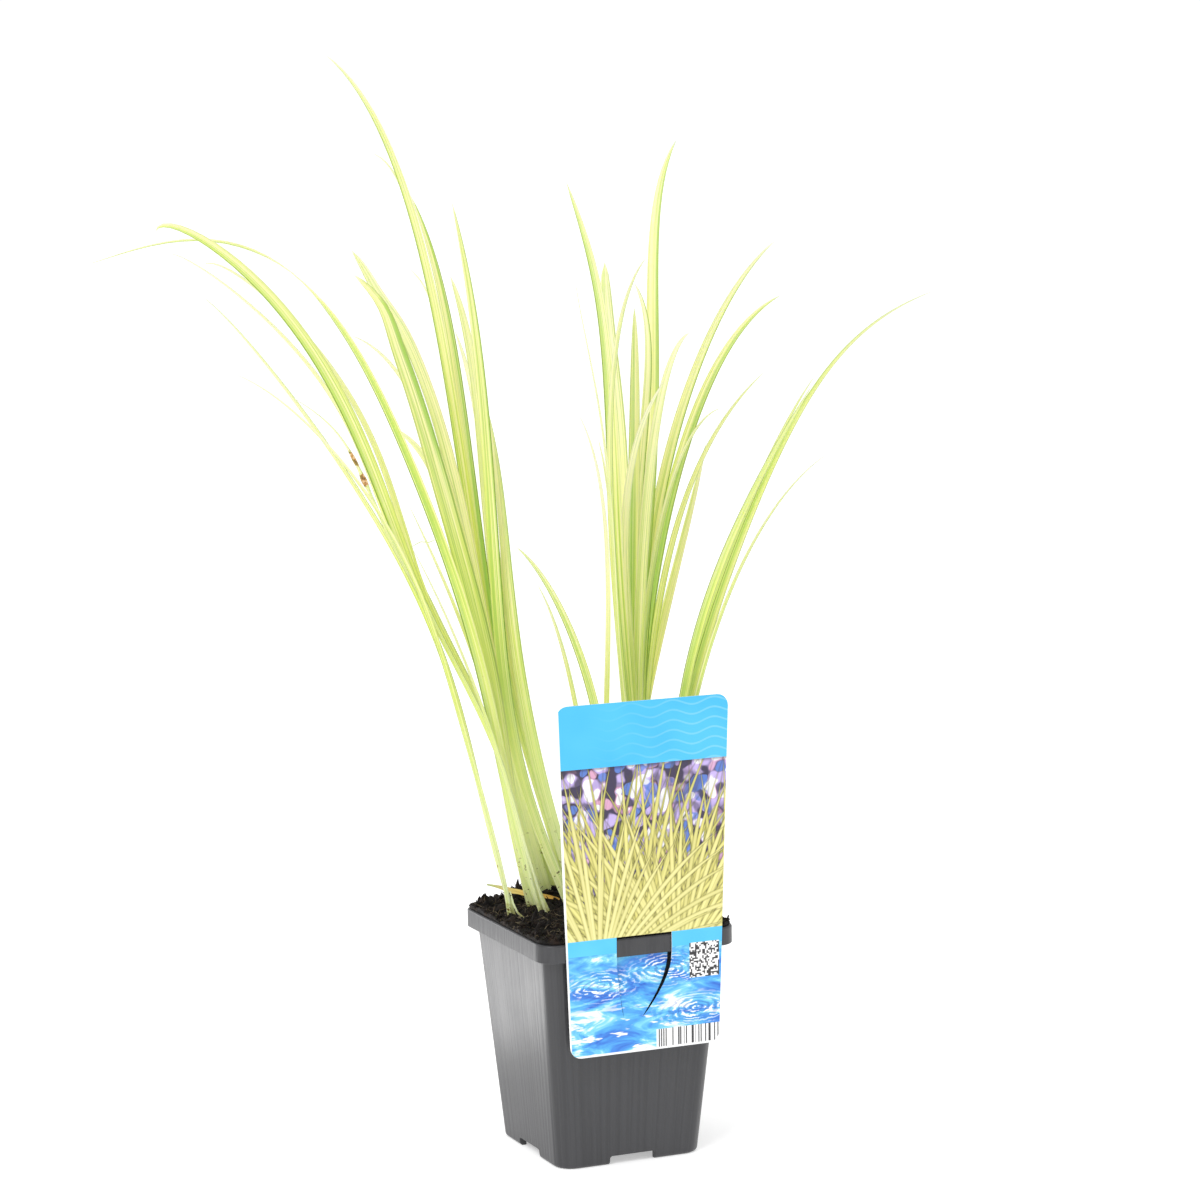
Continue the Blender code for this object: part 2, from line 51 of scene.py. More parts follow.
# Camera: its place is given by turn, distance and height, then it is turned down and rolled a little
CAMERA_TURN = math.radians(24.101)
CAMERA_DISTANCE = 1.538535
CAMERA_HEIGHT = 0.446272
CAMERA_DOWN = math.radians(7.767)
CAMERA_SIDE = math.radians(0.084)
CAMERA_ROLL = math.radians(-0.612)
CAMERA_LENS = 110
CAMERA_SENSOR = 36

# Room: its light on the plant, and how bright it looks
ROOM_LIGHT = 0.8
BACKDROP_LIGHT = 1.05
TABLE_GLOW = 0.42

# Pot: half widths and levels. The rim and the hollow are drawn out step by step from the top of the wall
BASE_HALF = 33.2
WALL_TOP_HALF = 41.9
WALL_TOP = 98.8
WALL_CORNER = 8.2
BASE_ROUNDING = 1.7
BASE_EDGE = 1.3
FLOOR_UP = 4
RIM_AND_HOLLOW = [
    (43.8, 98.8), (43.8, 92.2), (44.85, 92.2), (45.0, 92.4), (45.0, 99.2), (44.85, 99.6), (44.5, 99.9),
    (44.1, 100.0), (41.3, 100.0), (41.0, 99.85), (40.9, 99.5), (36.9, 52.0), (32.7, 5.2),
]
NOTCH_HALF = 10.5
NOTCH_TOP = 3.7
NOTCH_ROUNDING = 1.1
HOLE_AT = 17
HOLE_RADIUS = 4
PAD_RADIUS = 7

# Plant tag: the levels and sides of the fields of its print, its slit, and the print's left side, which leans
HEADER_FOOT = 173.3
PICTURE_FOOT = 101.0
BAND_FOOT = 94.5
BARS_LEFT, BARS_TOP = 5.8, 59.8
CHECKS_LEFT, CHECKS_RIGHT, CHECKS_FOOT, CHECKS_TOP = 21.4, 35.2, 80.2, 95.2
SLIT_HALF, SLIT_FOOT, SLIT_TOP = 13, 55, 94
PRINT_LEFT, PRINT_TOP, PRINT_LEAN, PRINT_FOOT = 38.2, 194.8, 0.031, 52.3

# Leaves: their feet, how they lean from the soil up, how those of a shoot stand apart, how they turn, spread
# and taper, and their rings
LEAF_FOOT_UP = 96
SOIL_LEVEL = 102
LEAN_RISE = 300
LEAN_POWER = 1.5
LAYER_PITCH = 1.0
SIDE_OFFSET = 1.5
TURN_POWER = 1.3
SPREAD_SHARE = 0.4
TAPER_BLUNTNESS = 0.7
LEAF_RINGS = 64

# Section of a blade, for a half width of one: a channel with a swollen face and back, and edges
CHANNEL_DEPTH = 0.16
FACE_SWELL = 0.1
BACK_SWELL = 0.09
EDGE_HALF = 0.012
SECTION_STEPS = 10

# Each shoot has its foot (across, back) and its leaves from front to back. Each leaf has the places that its
# path is drawn to (across, up), its lean to the back, its width at the foot and at most, its turn in degrees,
# how late it tapers, its paint and its lines. The paint is how yellow-green the blade is (0 is cream), where
# its green band runs (-1 is the left edge, 1 the right) and how strong the band is. The lines are those along
# the left and right edge (above 0 olive, below 0 pinkish brown)
SHOOTS = {
    "front_shoot": ((-36, -4), [
        ([(-38, 139), (-81, 232), (-47, 228), (-106, 325), (-148, 338)],
         -60, 2.0, 2.2, 30, 2.5, (0.5, -0.3, 0.3), (0.6, 0.2)),
        ([(-52, 150), (-62, 234), (-58, 227), (-130.6, 348), (-159, 369)],
         -45, 2.0, 2.8, -30, 3, (0.5, 0.2, 0.4), (0.4, 0.7)),
    ]),
    "left_shoot": ((-25, 4), [
        ([(-36, 146), (-38, 169), (-57, 227), (-76, 264)],
         -66, 1.0, 1.4, 20, 4, (0.5, 0.0, 0.3), (0.3, 0.3)),
        ([(-50, 143), (-23, 196), (-46, 172), (-120, 298), (-73, 297), (-127, 329)],
         -54, 1.4, 2.4, -40, 3, (0.6, 0.3, 0.5), (0.3, 0.7)),
        ([(-48, 159), (-5, 225), (-170.8, 233.4), (1.2, 289.4), (-169.8, 420.2), (-177, 395)],
         -43, 1.4, 6.0, 20, 5, (0.85, -0.6, 0.7), (1.0, 0.3)),
        ([(-44, 142), (-45, 199), (-42, 326), (-114, 197), (-49, 468), (-169, 390), (-209, 381)],
         -35, 4.6, 5.8, -65, 1.8, (0.85, -0.5, 0.7), (1.0, -0.3)),
        ([(-54, 158), (23, 176), (-203, 305), (25, 224), (-148, 400), (-160, 380)],
         -30, 1.2, 3.2, 40, 4, (0.3, 0.0, 0.2), (0.4, 0.3)),
        ([(-35, 142), (-41, 194), (-59, 237), (-78, 279)],
         -25, 2.0, 2.0, 30, 4, (0.5, 0.2, 0.3), (0.4, 0.2)),
        ([(-65, 171), (55, 137), (-240, 348), (24, 227), (-156, 388), (-176, 385)],
         -18, 1.4, 3.2, -35, 3, (0.2, 0.4, 0.2), (0.3, 0.5)),
        ([(-47, 138), (-30, 242), (-70, 232), (-63, 339), (-100, 375)],
         -9, 4.6, 7.6, 20, 9, (0.9, 0.75, 1.0), (0.4, 0.5)),
        ([(-48, 184), (-41, 180), (-52, 334), (-102, 349)],
         -2, 3.2, 3.2, -35, 5, (0.15, 0.0, 0.0), (-0.4, 0.3)),
    ]),
    "back_shoot": ((-18, 27), [
        ([(-41, 167), (-54, 242), (-54, 327), (-102, 384)],
         6, 4.6, 5.4, -20, 20, (0.3, -0.3, 0.25), (0.4, -0.6)),
        ([(-57, 159), (-18, 160), (-65, 229), (-50, 289), (-87, 308)],
         16, 4.6, 5.2, 15, 6, (0.2, 0.2, 0.15), (-0.6, 0.3)),
        ([(-45, 152), (-51, 281), (-61, 286), (-62, 427), (-114, 467)],
         28, 4.6, 4.6, 20, 5, (0.5, -0.8, 0.7), (0.9, -0.3)),
        ([(-42, 163), (-42, 209), (-59, 286), (-52.6, 348), (-78.4, 406)],
         42, 4.6, 5.2, -25, 8, (0.6, 0.55, 1.0), (0.3, 1.0)),
        ([(-39, 220), (-53, 154), (-57, 418), (-97, 424)],
         58, 2.6, 2.6, 40, 6, (0.4, 0.0, 0.3), (0.4, 0.2)),
        ([(-28, 164), (-66, 214), (-48, 350), (-81, 373)],
         76, 2.6, 2.6, -40, 6, (0.35, 0.0, 0.3), (0.3, 0.3)),
    ]),
    "small_shoot": ((5, -9), [
        ([(4, 166), (0, 189), (16, 277), (-6, 320)],
         -62, 2.5, 2.5, 30, 4, (0.1, 0.0, 0.0), (-0.3, -0.3)),
        ([(0, 139), (-5, 164), (-8, 218), (-24, 247)],
         -48, 2.4, 2.4, 30, 4, (0.6, 0.4, 0.5), (-0.3, 0.5)),
        ([(1, 145), (15, 161), (-8, 242.5), (-32.4, 262)],
         -34, 4.0, 4.0, -25, 5, (0.8, -0.3, 0.7), (0.9, 0.3)),
    ]),
    "middle_shoot": ((-8, 13), [
        ([(-45, 181), (-40, 186), (-44, 296), (-44, 341), (-58, 405)],
         -8, 4.6, 5.2, 20, 5, (0.75, 0.8, 0.7), (-0.2, 1.0)),
        ([(-20, 141), (-43, 212), (-33, 259), (-45, 318)],
         4, 4.6, 5.2, -30, 6, (0.45, 0.7, 0.6), (-0.4, 0.5)),
        ([(-28, 172), (-56, 222), (-37, 310), (-60.2, 373)],
         18, 3.8, 4.8, 30, 12, (0.3, -0.4, 0.4), (0.3, -0.6)),
        ([(-23, 160), (-51, 211), (-36, 290), (-59, 349)],
         34, 4.2, 4.2, -30, 8, (0.1, 0.5, 0.2), (-0.8, 0.3)),
    ]),
    "right_shoot": ((15, 6), [
        ([(33, 200), (-15, 172), (27, 278), (0, 318), (-7, 378)],
         -56, 1.5, 1.5, -40, 4, (0.3, 0.0, 0.2), (0.3, 0.3)),
        ([(14, 202), (13, 192), (-8, 349), (23, 383)],
         -45, 2.9, 2.9, 35, 6, (0.4, 0.5, 0.4), (-0.2, 0.6)),
        ([(23, 178), (8, 192), (2, 319), (19, 336), (-10, 414)],
         -33, 4.4, 5.2, -25, 8, (0.5, -0.5, 0.7), (0.9, -0.1)),
        ([(16, 157), (23, 209), (-4, 281), (30, 330)],
         -22, 4.2, 4.2, 30, 6, (0.15, 0.5, 0.2), (-1.0, 0.3)),
        ([(19, 191), (17, 170), (17.2, 338), (41, 349.5)],
         -11, 4.6, 4.6, -20, 6, (0.2, 0.4, 0.2), (-0.6, 0.3)),
        ([(14, 160), (15, 228), (18, 294), (18, 360)],
         -1, 4.6, 5.3, 20, 9, (0.95, -0.4, 0.9), (0.5, 0.3)),
        ([(8, 145), (39, 222), (-12, 240), (42, 329), (18, 370)],
         10, 4.3, 4.3, -30, 9, (0.35, 0.6, 0.5), (-0.4, 0.9)),
        ([(22, 177), (12, 145), (19, 308), (55, 316)],
         19, 3.0, 3.0, 50, 6, (0.6, 0.5, 0.6), (0.2, 0.7)),
        ([(27, 148), (-7, 256), (56, 270), (7, 378), (37, 429)],
         29, 4.6, 6.0, -20, 7, (0.75, 0.8, 0.9), (-0.5, 0.4)),
        ([(19, 134), (17, 255), (21, 247), (35, 351), (80, 386)],
         40, 4.6, 5.6, 20, 3.5, (0.4, 0.8, 0.5), (0.2, 1.0)),
        ([(32, 201), (-6, 141), (27, 313), (6, 306), (6, 377)],
         49, 4.6, 6.6, -20, 30, (0.45, -0.5, 0.5), (-0.2, 0.4)),
        ([(20, 151), (6, 190), (14, 258), (2, 302)],
         59, 2.8, 2.8, 35, 5, (0.3, 0.0, 0.2), (0.3, 0.2)),
        ([(17, 134), (15, 256), (31, 227.5), (31.6, 336.6), (83, 361)],
         70, 4.6, 5.6, -20, 5, (0.8, 0.6, 0.9), (0.2, 0.8)),
        ([(17, 156), (23, 219.5), (29.4, 289), (76, 328)],
         82, 3.2, 3.2, 40, 5, (0.7, 0.0, 0.2), (0.7, 0.7)),
        ([(13, 163), (19, 190), (38, 248.6), (49.6, 297)],
         95, 3.9, 4.3, -25, 5, (0.35, -0.4, 0.3), (0.2, -0.8)),
    ]),
    "far_right_shoot": ((26, -8), [
        ([(36, 157), (35, 193), (57, 276), (96, 302)],
         -66, 2.2, 2.2, 40, 3, (0.6, 0.4, 0.5), (0.3, 0.6)),
        ([(37, 169), (25, 209), (60, 279), (90, 330)],
         -50, 4.1, 4.1, -30, 3.5, (0.85, -0.5, 0.7), (0.9, 0.4)),
        ([(38, 165), (24, 214), (84.2, 288), (72.4, 343.6), (142, 368)],
         -32, 4.6, 5.0, 20, 1.3, (0.85, -0.5, 0.7), (0.8, 0.5)),
        ([(33, 135), (35, 235), (45, 214), (66, 295), (93, 332)],
         -12, 3.6, 3.6, -40, 3.5, (0.7, 0.4, 0.5), (0.4, 0.5)),
    ]),
}

# Shrivelled places on a leaf: how far along it they are, how far they reach and how much they swell; and
# places where a leaf is bleached, with how much they narrow
DEAD_PLACES = {"left_shoot_leaf_2": ((0.834, 0.016, 0.6), (0.79, 0.015, 1.0))}
BLEACHED_PLACES = {"left_shoot_leaf_4": (0.762, 0.045, 0.7)}

# Leaves whose lower part lies along another leaf of their shoot
FOLLOWED = "left_shoot_leaf_3"
FOLLOWED_SHARE = 0.6
FOLLOWERS = ("left_shoot_leaf_2", "left_shoot_leaf_5", "left_shoot_leaf_7")
FOLLOW_UP_TO = 232
FOLLOW_FADE = 34

# A leaf that starts to widen late, places where a leaf is pushed sideways (how far along, over what reach, by
# how much), and a leaf whose green band runs over a part of it only
LATE_SPREAD = {"left_shoot_leaf_3": 0.72}
PUSHES = {"back_shoot_leaf_1": (0.925, 0.045, -1.9), "left_shoot_leaf_8": (0.94, 0.05, 2.2)}
GREEN_SPANS = {"left_shoot_leaf_8": (0.62, 0.955)}

# How the feet of a shoot stand in a slanting row: across at its middle, across per layer, back per layer
FOOT_SLANT = {"left_shoot": (2.4, -0.9, 0.7)}

# The fallen leaf, by its path (across, up), and two dry bits, each with the places it is bent over (across,
# up, back), its half width and its turn in degrees
FALLEN_BACK = 16
FALLEN_HALF_WIDTH = 1.25
FALLEN_TURN = -40
FALLEN_PATH = [(-48, 110.6), (-42.5, 109.4), (-37.3, 107.7), (-28, 105.9), (-21.5, 104.9), (-16, 103.6)]
LOOSE_RINGS = 40
DRY_BITS = {
    "front_shoot_dead_sheath": (
        [(-37.4, 112, -4.6), (-36.2, 107, -5.6), (-34.4, 103.4, -7.5),
         (-31.5, 101.6, -10.5), (-30.2, 101.2, -12.2)],
        0.55, 25,
    ),
    "dry_thread": (
        [(-76.2, 262.4, -20), (-72.4, 264.4, -19), (-68.9, 264.0, -18), (-65.4, 265.4, -17)],
        0.42, 60,
    ),
}
DRY_BIT_RINGS = 24

# Soil: the block in the pot (half width and height of its foot, then of its top), the bed on it, which swells
# over the rim, then the rough top: its edge, its mean level and its ridge along the far side
SOIL_BLOCK = (32.2, 5.5, 40.2, 97)
BED_HALF, BED_SWELL_HALF, BED_FOOT, BED_SWELL_FOOT = 40.5, 44.0, 96, 100.2
BED_SWELL = 1.4
BED_DETAIL = 0.7
BED_MOVES_FROM, BED_FLAT_TOP = 100.4, 101.4
SOIL_EDGE = 44.2
SOIL_MEAN = 101.2
SOIL_CORNER = 7
RIDGE_HEIGHT, RIDGE_BACK, RIDGE_WIDTH, RIDGE_LEFT, RIDGE_FADE = 6.4, 28, 11, -47, 2.5

# What is strewn on the soil
CRUMB_SHAPES = 8
FLAT_SHARE = 0.4
FIBRES = 460
FIBRE_POINTS = 7
FIBRE_RADIUS = 0.17


# Choosing and shaping, as by hand

def only(obj):
    """Selects obj alone and makes it the active one."""
    if bpy.context.mode != "OBJECT":
        bpy.ops.object.mode_set(mode="OBJECT")
    bpy.ops.object.select_all(action="DESELECT")
    obj.select_set(True)
    bpy.context.view_layer.objects.active = obj


def added(primitive, name, **settings):
    """Adds a primitive while nothing else is chosen."""
    bpy.ops.object.select_all(action="DESELECT")
    primitive(**settings)
    made = bpy.context.object
    made.name = name
    return made


def put_in(name, data):
    made = bpy.data.objects.new(name, data)
    bpy.context.scene.collection.objects.link(made)
    return made


def edit(obj, part="FACE"):
    """Opens obj to be shaped, with all of it chosen."""
    only(obj)
    bpy.ops.object.mode_set(mode="EDIT")
    bpy.ops.mesh.select_mode(type=part)
    bpy.ops.mesh.select_all(action="SELECT")


def done():
    bpy.ops.object.mode_set(mode="OBJECT")


def pick(obj, kind, wanted):
    """Chooses the faces where wanted(centre, normal) holds, or the edges where wanted(end, end) does."""
    bpy.ops.mesh.select_mode(type=kind)
    bpy.ops.mesh.select_all(action="DESELECT")
    bm = bmesh.from_edit_mesh(obj.data)
    for face in bm.faces if kind == "FACE" else ():
        face.select_set(wanted(face.calc_center_median(), face.normal))
    for edge in bm.edges if kind == "EDGE" else ():
        edge.select_set(wanted(edge.verts[0].co, edge.verts[1].co))
    bmesh.update_edit_mesh(obj.data)


def draw_up(rise):
    bpy.ops.mesh.extrude_region_move(TRANSFORM_OT_translate={"value": (0, 0, rise * MM)})


def widen(growth, level):
    bpy.ops.transform.resize(value=(growth, growth, 1), center_override=(0, 0, level * MM))


def round_off(radius, steps):
    bpy.ops.mesh.bevel(offset=radius * MM, segments=steps, affect="EDGES")


def finish_with(obj, kind, **settings):
    """Adds a modifier and applies it."""
    only(obj)
    modifier = obj.modifiers.new(kind.lower(), kind)
    for key, value in settings.items():
        setattr(modifier, key, value)
    bpy.ops.object.modifier_apply(modifier=modifier.name)


def apply_place(obj):
    only(obj)
    bpy.ops.object.transform_apply(location=True, rotation=True, scale=True)


def smooth(obj, angle=35):
    only(obj)
    bpy.ops.object.shade_smooth_by_angle(angle=math.radians(angle))


def give(obj, material):
    """The piece's one material and its place in the model."""
    obj.data.materials.clear()
    obj.data.materials.append(material)
    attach(obj, "root")


def box(name, low, high):
    """A block between two corners, in millimetres."""
    low, high = Vector([c * MM for c in low]), Vector([c * MM for c in high])
    made = added(bpy.ops.mesh.primitive_cube_add, name, size=1, location=(low + high) / 2)
    made.scale = high - low
    apply_place(made)
    return made


def tapered_block(name, half, foot, top_half, top, corner, steps):
    """A block that widens upwards, with rounded upright edges. It stays open to be shaped."""
    made = box(name, (-half, -half, foot), (half, half, top))
    edit(made)
    pick(made, "FACE", lambda c, n: n.z > 0.9)
    widen(top_half / half, top)
    pick(made, "EDGE", lambda a, b: abs(a.z - b.z) > 0.003)
    round_off(corner, steps)
    return made


def cylinder(name, sides, radius, height, middle):
    """An upright cylinder about its middle, in millimetres."""
    made = added(
        bpy.ops.mesh.primitive_cylinder_add, name,
        vertices=sides, radius=radius * MM, depth=height * MM, location=[c * MM for c in middle],
    )
    apply_place(made)
    return made


def cut_away(obj, cutter, operation="DIFFERENCE"):
    finish_with(obj, "BOOLEAN", operation=operation, object=cutter, solver="EXACT")
    bpy.data.objects.remove(cutter, do_unlink=True)


# Finishes

def worked_out(operation, turned=False):
    """How a value and another one, or the other and the one, give a new value."""
    def result(value, other=None):
        return value.finish.sum(operation, *((other, value) if turned else (value, other)))
    return result


class Value:
    """What a node of a finish gives: a number or a vector that can be added to, multiplied and so on."""

    def __init__(self, finish, socket):
        self.finish = finish
        self.socket = socket

    __add__ = worked_out("ADD")
    __sub__ = worked_out("SUBTRACT")
    __rsub__ = worked_out("SUBTRACT", turned=True)
    __mul__ = worked_out("MULTIPLY")
    __truediv__ = worked_out("DIVIDE")
    __rtruediv__ = worked_out("DIVIDE", turned=True)
    __abs__ = worked_out("ABSOLUTE")


class Finish:
    """One material: its shade is built up from nodes, layer on layer, and then given to the shader."""

    def __init__(self, name, **sockets):
        self.material = bpy.data.materials.new(name)
        self.material.use_nodes = True
        self.tree = self.material.node_tree
        self.shader = self.tree.nodes["Principled BSDF"]
        for socket, value in sockets.items():
            self.shader.inputs[socket.replace("_", " ")].default_value = value

    def put(self, socket, value):
        if isinstance(value, Value):
            self.tree.links.new(value.socket, socket)
        elif value is not None:
            socket.default_value = value

    def node(self, kind, inputs=None, **settings):
        made = self.tree.nodes.new("ShaderNode" + kind)
        for key, value in settings.items():
            setattr(made, key, value)
        for socket, value in (inputs or {}).items():
            self.put(made.inputs[socket], value)
        return made

    def read(self, node, output=0):
        return Value(self, node.outputs[output])

    def place(self):
        return self.read(self.node("TexCoord"), "Object")

    def split(self, vector):
        return [Value(self, output) for output in self.node("SeparateXYZ", {0: vector}).outputs]

    def painted(self, layer):
        """The three values that a leaf's paint holds in one of its layers."""
        return self.split(self.read(self.node("Attribute", attribute_name=layer), "Color"))

    def join(self, x, y, z=0.0):
        return self.read(self.node("CombineXYZ", {0: x, 1: y, 2: z}))

    def sum(self, operation, a, b=None):
        return self.read(self.node("Math", {0: a, 1: b}, operation=operation))

    def distance(self, x, z):
        return self.sum("SQRT", x * x + z * z)

    def stretch(self, vector, scale):
        return self.read(self.node("Mapping", {0: vector, 3: scale}))

    def noise(self, vector, scale, detail=2.0, roughness=0.5, distortion=0.0):
        inputs = {
            "Vector": vector, "Scale": scale, "Detail": detail,
            "Roughness": roughness, "Distortion": distortion,
        }
        return self.read(self.node("TexNoise", inputs), "Fac")

    def step(self, value, low, high, start=0.0, end=1.0):
        """Goes smoothly from start at low to end at high."""
        inputs = {0: value, 1: low, 2: high, 3: start, 4: end}
        return self.read(self.node("MapRange", inputs, interpolation_type="SMOOTHSTEP"))

    def mix(self, share, under, over):
        inputs = {0: share, 6: colour(under), 7: colour(over)}
        return self.read(self.node("Mix", inputs, data_type="RGBA"), 2)

    def lay(self, share, over):
        """Lays a colour over the shade."""
        self.shade = self.mix(share, self.shade, over)

    def ramp(self, value, *stops):
        made = self.node("ValToRGB", {0: value})
        line = made.color_ramp
        while len(line.elements) < len(stops):
            line.elements.new(0.5)
        for element, (at, shade) in zip(line.elements, stops):
            element.position = at
            element.color = colour(shade)
        return self.read(made)

    def bump(self, height, depth, strength=1.0, under=None):
        inputs = {"Height": height, "Distance": depth, "Strength": strength, "Normal": under}
        return self.read(self.node("Bump", inputs))

    def finished(self, roughness, normal=None):
        for socket, value in (("Base Color", self.shade), ("Roughness", roughness), ("Normal", normal)):
            self.put(self.shader.inputs[socket], value)
        return self.material


def colour(value):
    """A colour written as six hex digits, as seen on a screen, made linear."""
    if not isinstance(value, str):
        return value
    parts = [int(value[i:i + 2], 16) / 255 for i in (0, 2, 4)]
    linear = [p / 12.92 if p <= 0.04045 else ((p + 0.055) / 1.055) ** 2.4 for p in parts]
    return (*linear, 1.0)


def pot_plastic():
    """Dark plastic with upright streaks that narrow with the pot, and dust."""
    f = Finish("pot_plastic", Specular_IOR_Level=0.6)
    place = f.place()
    x, y, z = f.split(place)
    narrowing = 1.0 / (z * 2.65 + 1.0)
    upright = f.join(x * narrowing, y * narrowing, z * 0.01)
    streaks = f.noise(upright, 560, 3, 0.6)
    broad = f.noise(upright, 150, 2)
    dust = f.noise(place, 60, 5, 0.65)
    grain = f.noise(place, 2600, 2)
    f.shade = f.mix(f.step(streaks, 0.36, 0.64), "2F2F32", "38383B")
    f.lay(f.step(dust, 0.55, 0.8) * 0.25, "4A4A4A")
    relief = f.bump(streaks, 0.22 * MM, 1.0)
    relief = f.bump(broad, 0.06 * MM, 0.3, relief)
    relief = f.bump(grain, 0.01 * MM, 0.5, relief)
    return f.finished(streaks * 0.2 + 0.22 + dust * 0.1, relief)


def soil_finish():
    """Moist dark peat with paler crumbs."""
    f = Finish("soil", Specular_IOR_Level=0.25)
    place = f.place()
    lumps = f.noise(place, 260, 4, 0.6)
    crumbs = f.noise(place, 900, 4, 0.7)
    f.shade = f.ramp(lumps, (0.32, "070504"), (0.5, "130D0A"), (0.66, "281C14"), (0.8, "403022"))
    f.lay(f.step(crumbs, 0.58, 0.8) * 0.6, "5E4A34")
    relief = f.bump(crumbs, 0.5 * MM, 1.0, f.bump(lumps, 0.8 * MM, 1.0))
    return f.finished(f.step(crumbs, 0.2, 0.8, 0.55, 0.95), relief)


def fibre_finish():
    """Brown to straw-coloured bark and root."""
    f = Finish("root_fibre", Specular_IOR_Level=0.3)
    place = f.place()
    f.shade = f.ramp(f.noise(place, 160, 3), (0.35, "201A14"), (0.5, "4C4032"), (0.7, "8C8066"))
    return f.finished(0.8, f.bump(f.noise(place, 3000, 3), 0.05 * MM, 0.8))


def leaf_finish():
    """Lengthwise stripes of green, yellow and cream. The blade layer holds across, along and a number of the
    leaf's own; paint and lines hold the leaf's colours, and lines also how dead the blade is there."""
    f = Finish("leaf", Specular_IOR_Level=0.4, Subsurface_Weight=0.45, Subsurface_Scale=1.6 * MM)
    f.shader.inputs["Subsurface Radius"].default_value = (1.0, 1.0, 0.35)
    across, along, own = f.painted("blade")
    tone, green_at, green = f.painted("paint")
    left, right, dead = f.painted("lines")
    place = f.place()
    up = f.split(place)[2]
    shifted = across + own * 7.3
    broad = f.noise(f.join(shifted, along * 1.3, own), 1.6, 1)
    bands = f.noise(f.join(shifted, along * 0.5, own), 2.6, 1)
    stripes = f.noise(f.join(shifted, along * 0.35, own), 7.5, 2, 0.6)
    veins = f.noise(f.join(across + own, along * 0.25, own), 19, 2)

    # Yellow, paler low down and towards the tip, or cream. The paleness low down is partly the blade's own
    # pale foot and partly painted light that lifts the shade among the crowded lower leaves
    low = f.step(along, 0.26, 0.02)
    high = f.step(along, 0.5, 0.95)
    yellow = f.mix(high, f.mix(low, "D4DF74", "E8F0A8"), "E2DFA8")
    cream = f.mix(high, "F0ECA4", "F4EECA")
    body = f.step(tone + f.step(along, 0.66, 0.36, 0.0, 0.75) + (broad - 0.5) * 1.2, 0.15, 0.85)
    f.shade = f.mix(body, cream, yellow)
    f.lay(f.step(bands, 0.54, 0.6) * f.step(along, 0.25, 0.6, 0.25, 0.75), "F4EFB8")

    # The green band, then finer stripes and veins
    near = abs(across + (broad - 0.5) * 0.9 - green_at)
    f.lay(f.step(near, 0.55, 0.1) * green * 0.85, "90BA54")
    f.lay(f.step(bands, 0.46, 0.41) * (green * 0.45 + 0.2), "AAC75E")
    f.lay(f.step(stripes, 0.53, 0.6) * 0.5, "F4EFBE")
    f.lay(f.step(stripes, 0.45, 0.41) * 0.45, "86B044")
    f.lay(f.step(veins, 0.45, 0.62) * 0.16, "77943C")

    # The lines along the edges
    olive_left = f.step(across, -0.74, -0.86) * f.step(left, -0.1, 0.9, 0.1)
    olive_right = f.step(across, 0.74, 0.86) * f.step(right, -0.1, 0.9, 0.1)
    f.lay(olive_left + olive_right, "58802A")
    brown_left = f.step(across, -0.74, -0.92) * f.sum("MAXIMUM", left * -1, 0.0)
    brown_right = f.step(across, 0.74, 0.92) * f.sum("MAXIMUM", right * -1, 0.0)
    f.lay((brown_left + brown_right) * 0.5, "BEA58C")

    # The pale foot, partly the leaves' own pale base and partly painted light that lifts the shade among the
    # leaf feet, with specks and the brown of its sheath, and the dead places
    foot = f.step(up, 0.220, 0.120)
    f.lay(foot * 0.72, "E9F0B6")
    f.lay(f.step(stripes, 0.47, 0.42) * (foot * 0.4), "AACB62")
    f.lay(f.step(f.noise(place, 420, 2), 0.64, 0.69) * f.step(up, 0.146, 0.108), "5A4428")
    sheath = f.step(up + f.noise(place, 300, 3) * -0.012, 0.1, 0.096)
    f.lay(sheath * 0.7, f.mix(f.step(stripes, 0.4, 0.6), "5A4826", "A2954E"))
    mottle = f.noise(place, 700, 3)
    mottle = f.ramp(mottle, (0.38, "4E3A1C"), (0.46, "7A5A2E"), (0.56, "A4683A"), (0.66, "D0AC8C"))
    f.lay(f.step(dead + (f.noise(place, 500, 3) - 0.5) * 1.4, 0.35, 0.55), mottle)
    relief = f.bump(stripes, 0.12 * MM, 0.4, f.bump(veins, 0.06 * MM, 0.6))
    return f.finished(f.step(veins, 0.3, 0.7, 0.4, 0.54), relief)


def dry_leaf_finish():
    """Dull gold with brown stripes and blotches."""
    f = Finish("dry_leaf", Specular_IOR_Level=0.3)
    across, along, own = f.painted("blade")
    stripes = f.noise(f.join(across * 2, along, own), 4, 3)
    blotch = f.noise(f.place(), 130, 3)
    f.shade = f.ramp(
        along, (0.0, "BCC68A"), (0.25, "EAD688"), (0.55, "F6D070"), (0.85, "F0B85C"), (1.0, "B08444"))
    f.lay(f.step(stripes, 0.5, 0.7) * 0.5, "A07A34")
    f.lay(f.step(blotch, 0.58, 0.75) * 0.5, "6E5228")
    return f.finished(0.75, f.bump(stripes, 0.15 * MM, 0.8))


# Print of the plant tag

def card_start(name):
    """A print, a place on the card, and how far it is across and up, in metres."""
    f = Finish(name, Specular_IOR_Level=0.5)
    place = f.place()
    x, _, z = f.split(place)
    return f, place, x, z


def card_done(f, place):
    """Lays the print on the card, with the thin white margin down its left side and along its foot."""
    x, _, z = f.split(place)
    from_left = x + PRINT_LEFT * MM + (z - PRINT_TOP * MM) * PRINT_LEAN
    along_foot = f.step(z, PRINT_FOOT * MM, (PRINT_FOOT - 0.2) * MM)
    margin = f.sum("MAXIMUM", f.step(from_left, 1.0 * MM, 0.75 * MM), along_foot)
    f.lay(margin, "FBFCFC")
    gloss = f.step(f.noise(place, 90, 3), 0.3, 0.7, 0.28, 0.36)
    return f.finished(gloss, f.bump(f.noise(place, 1500, 2), 0.01 * MM, 0.3))


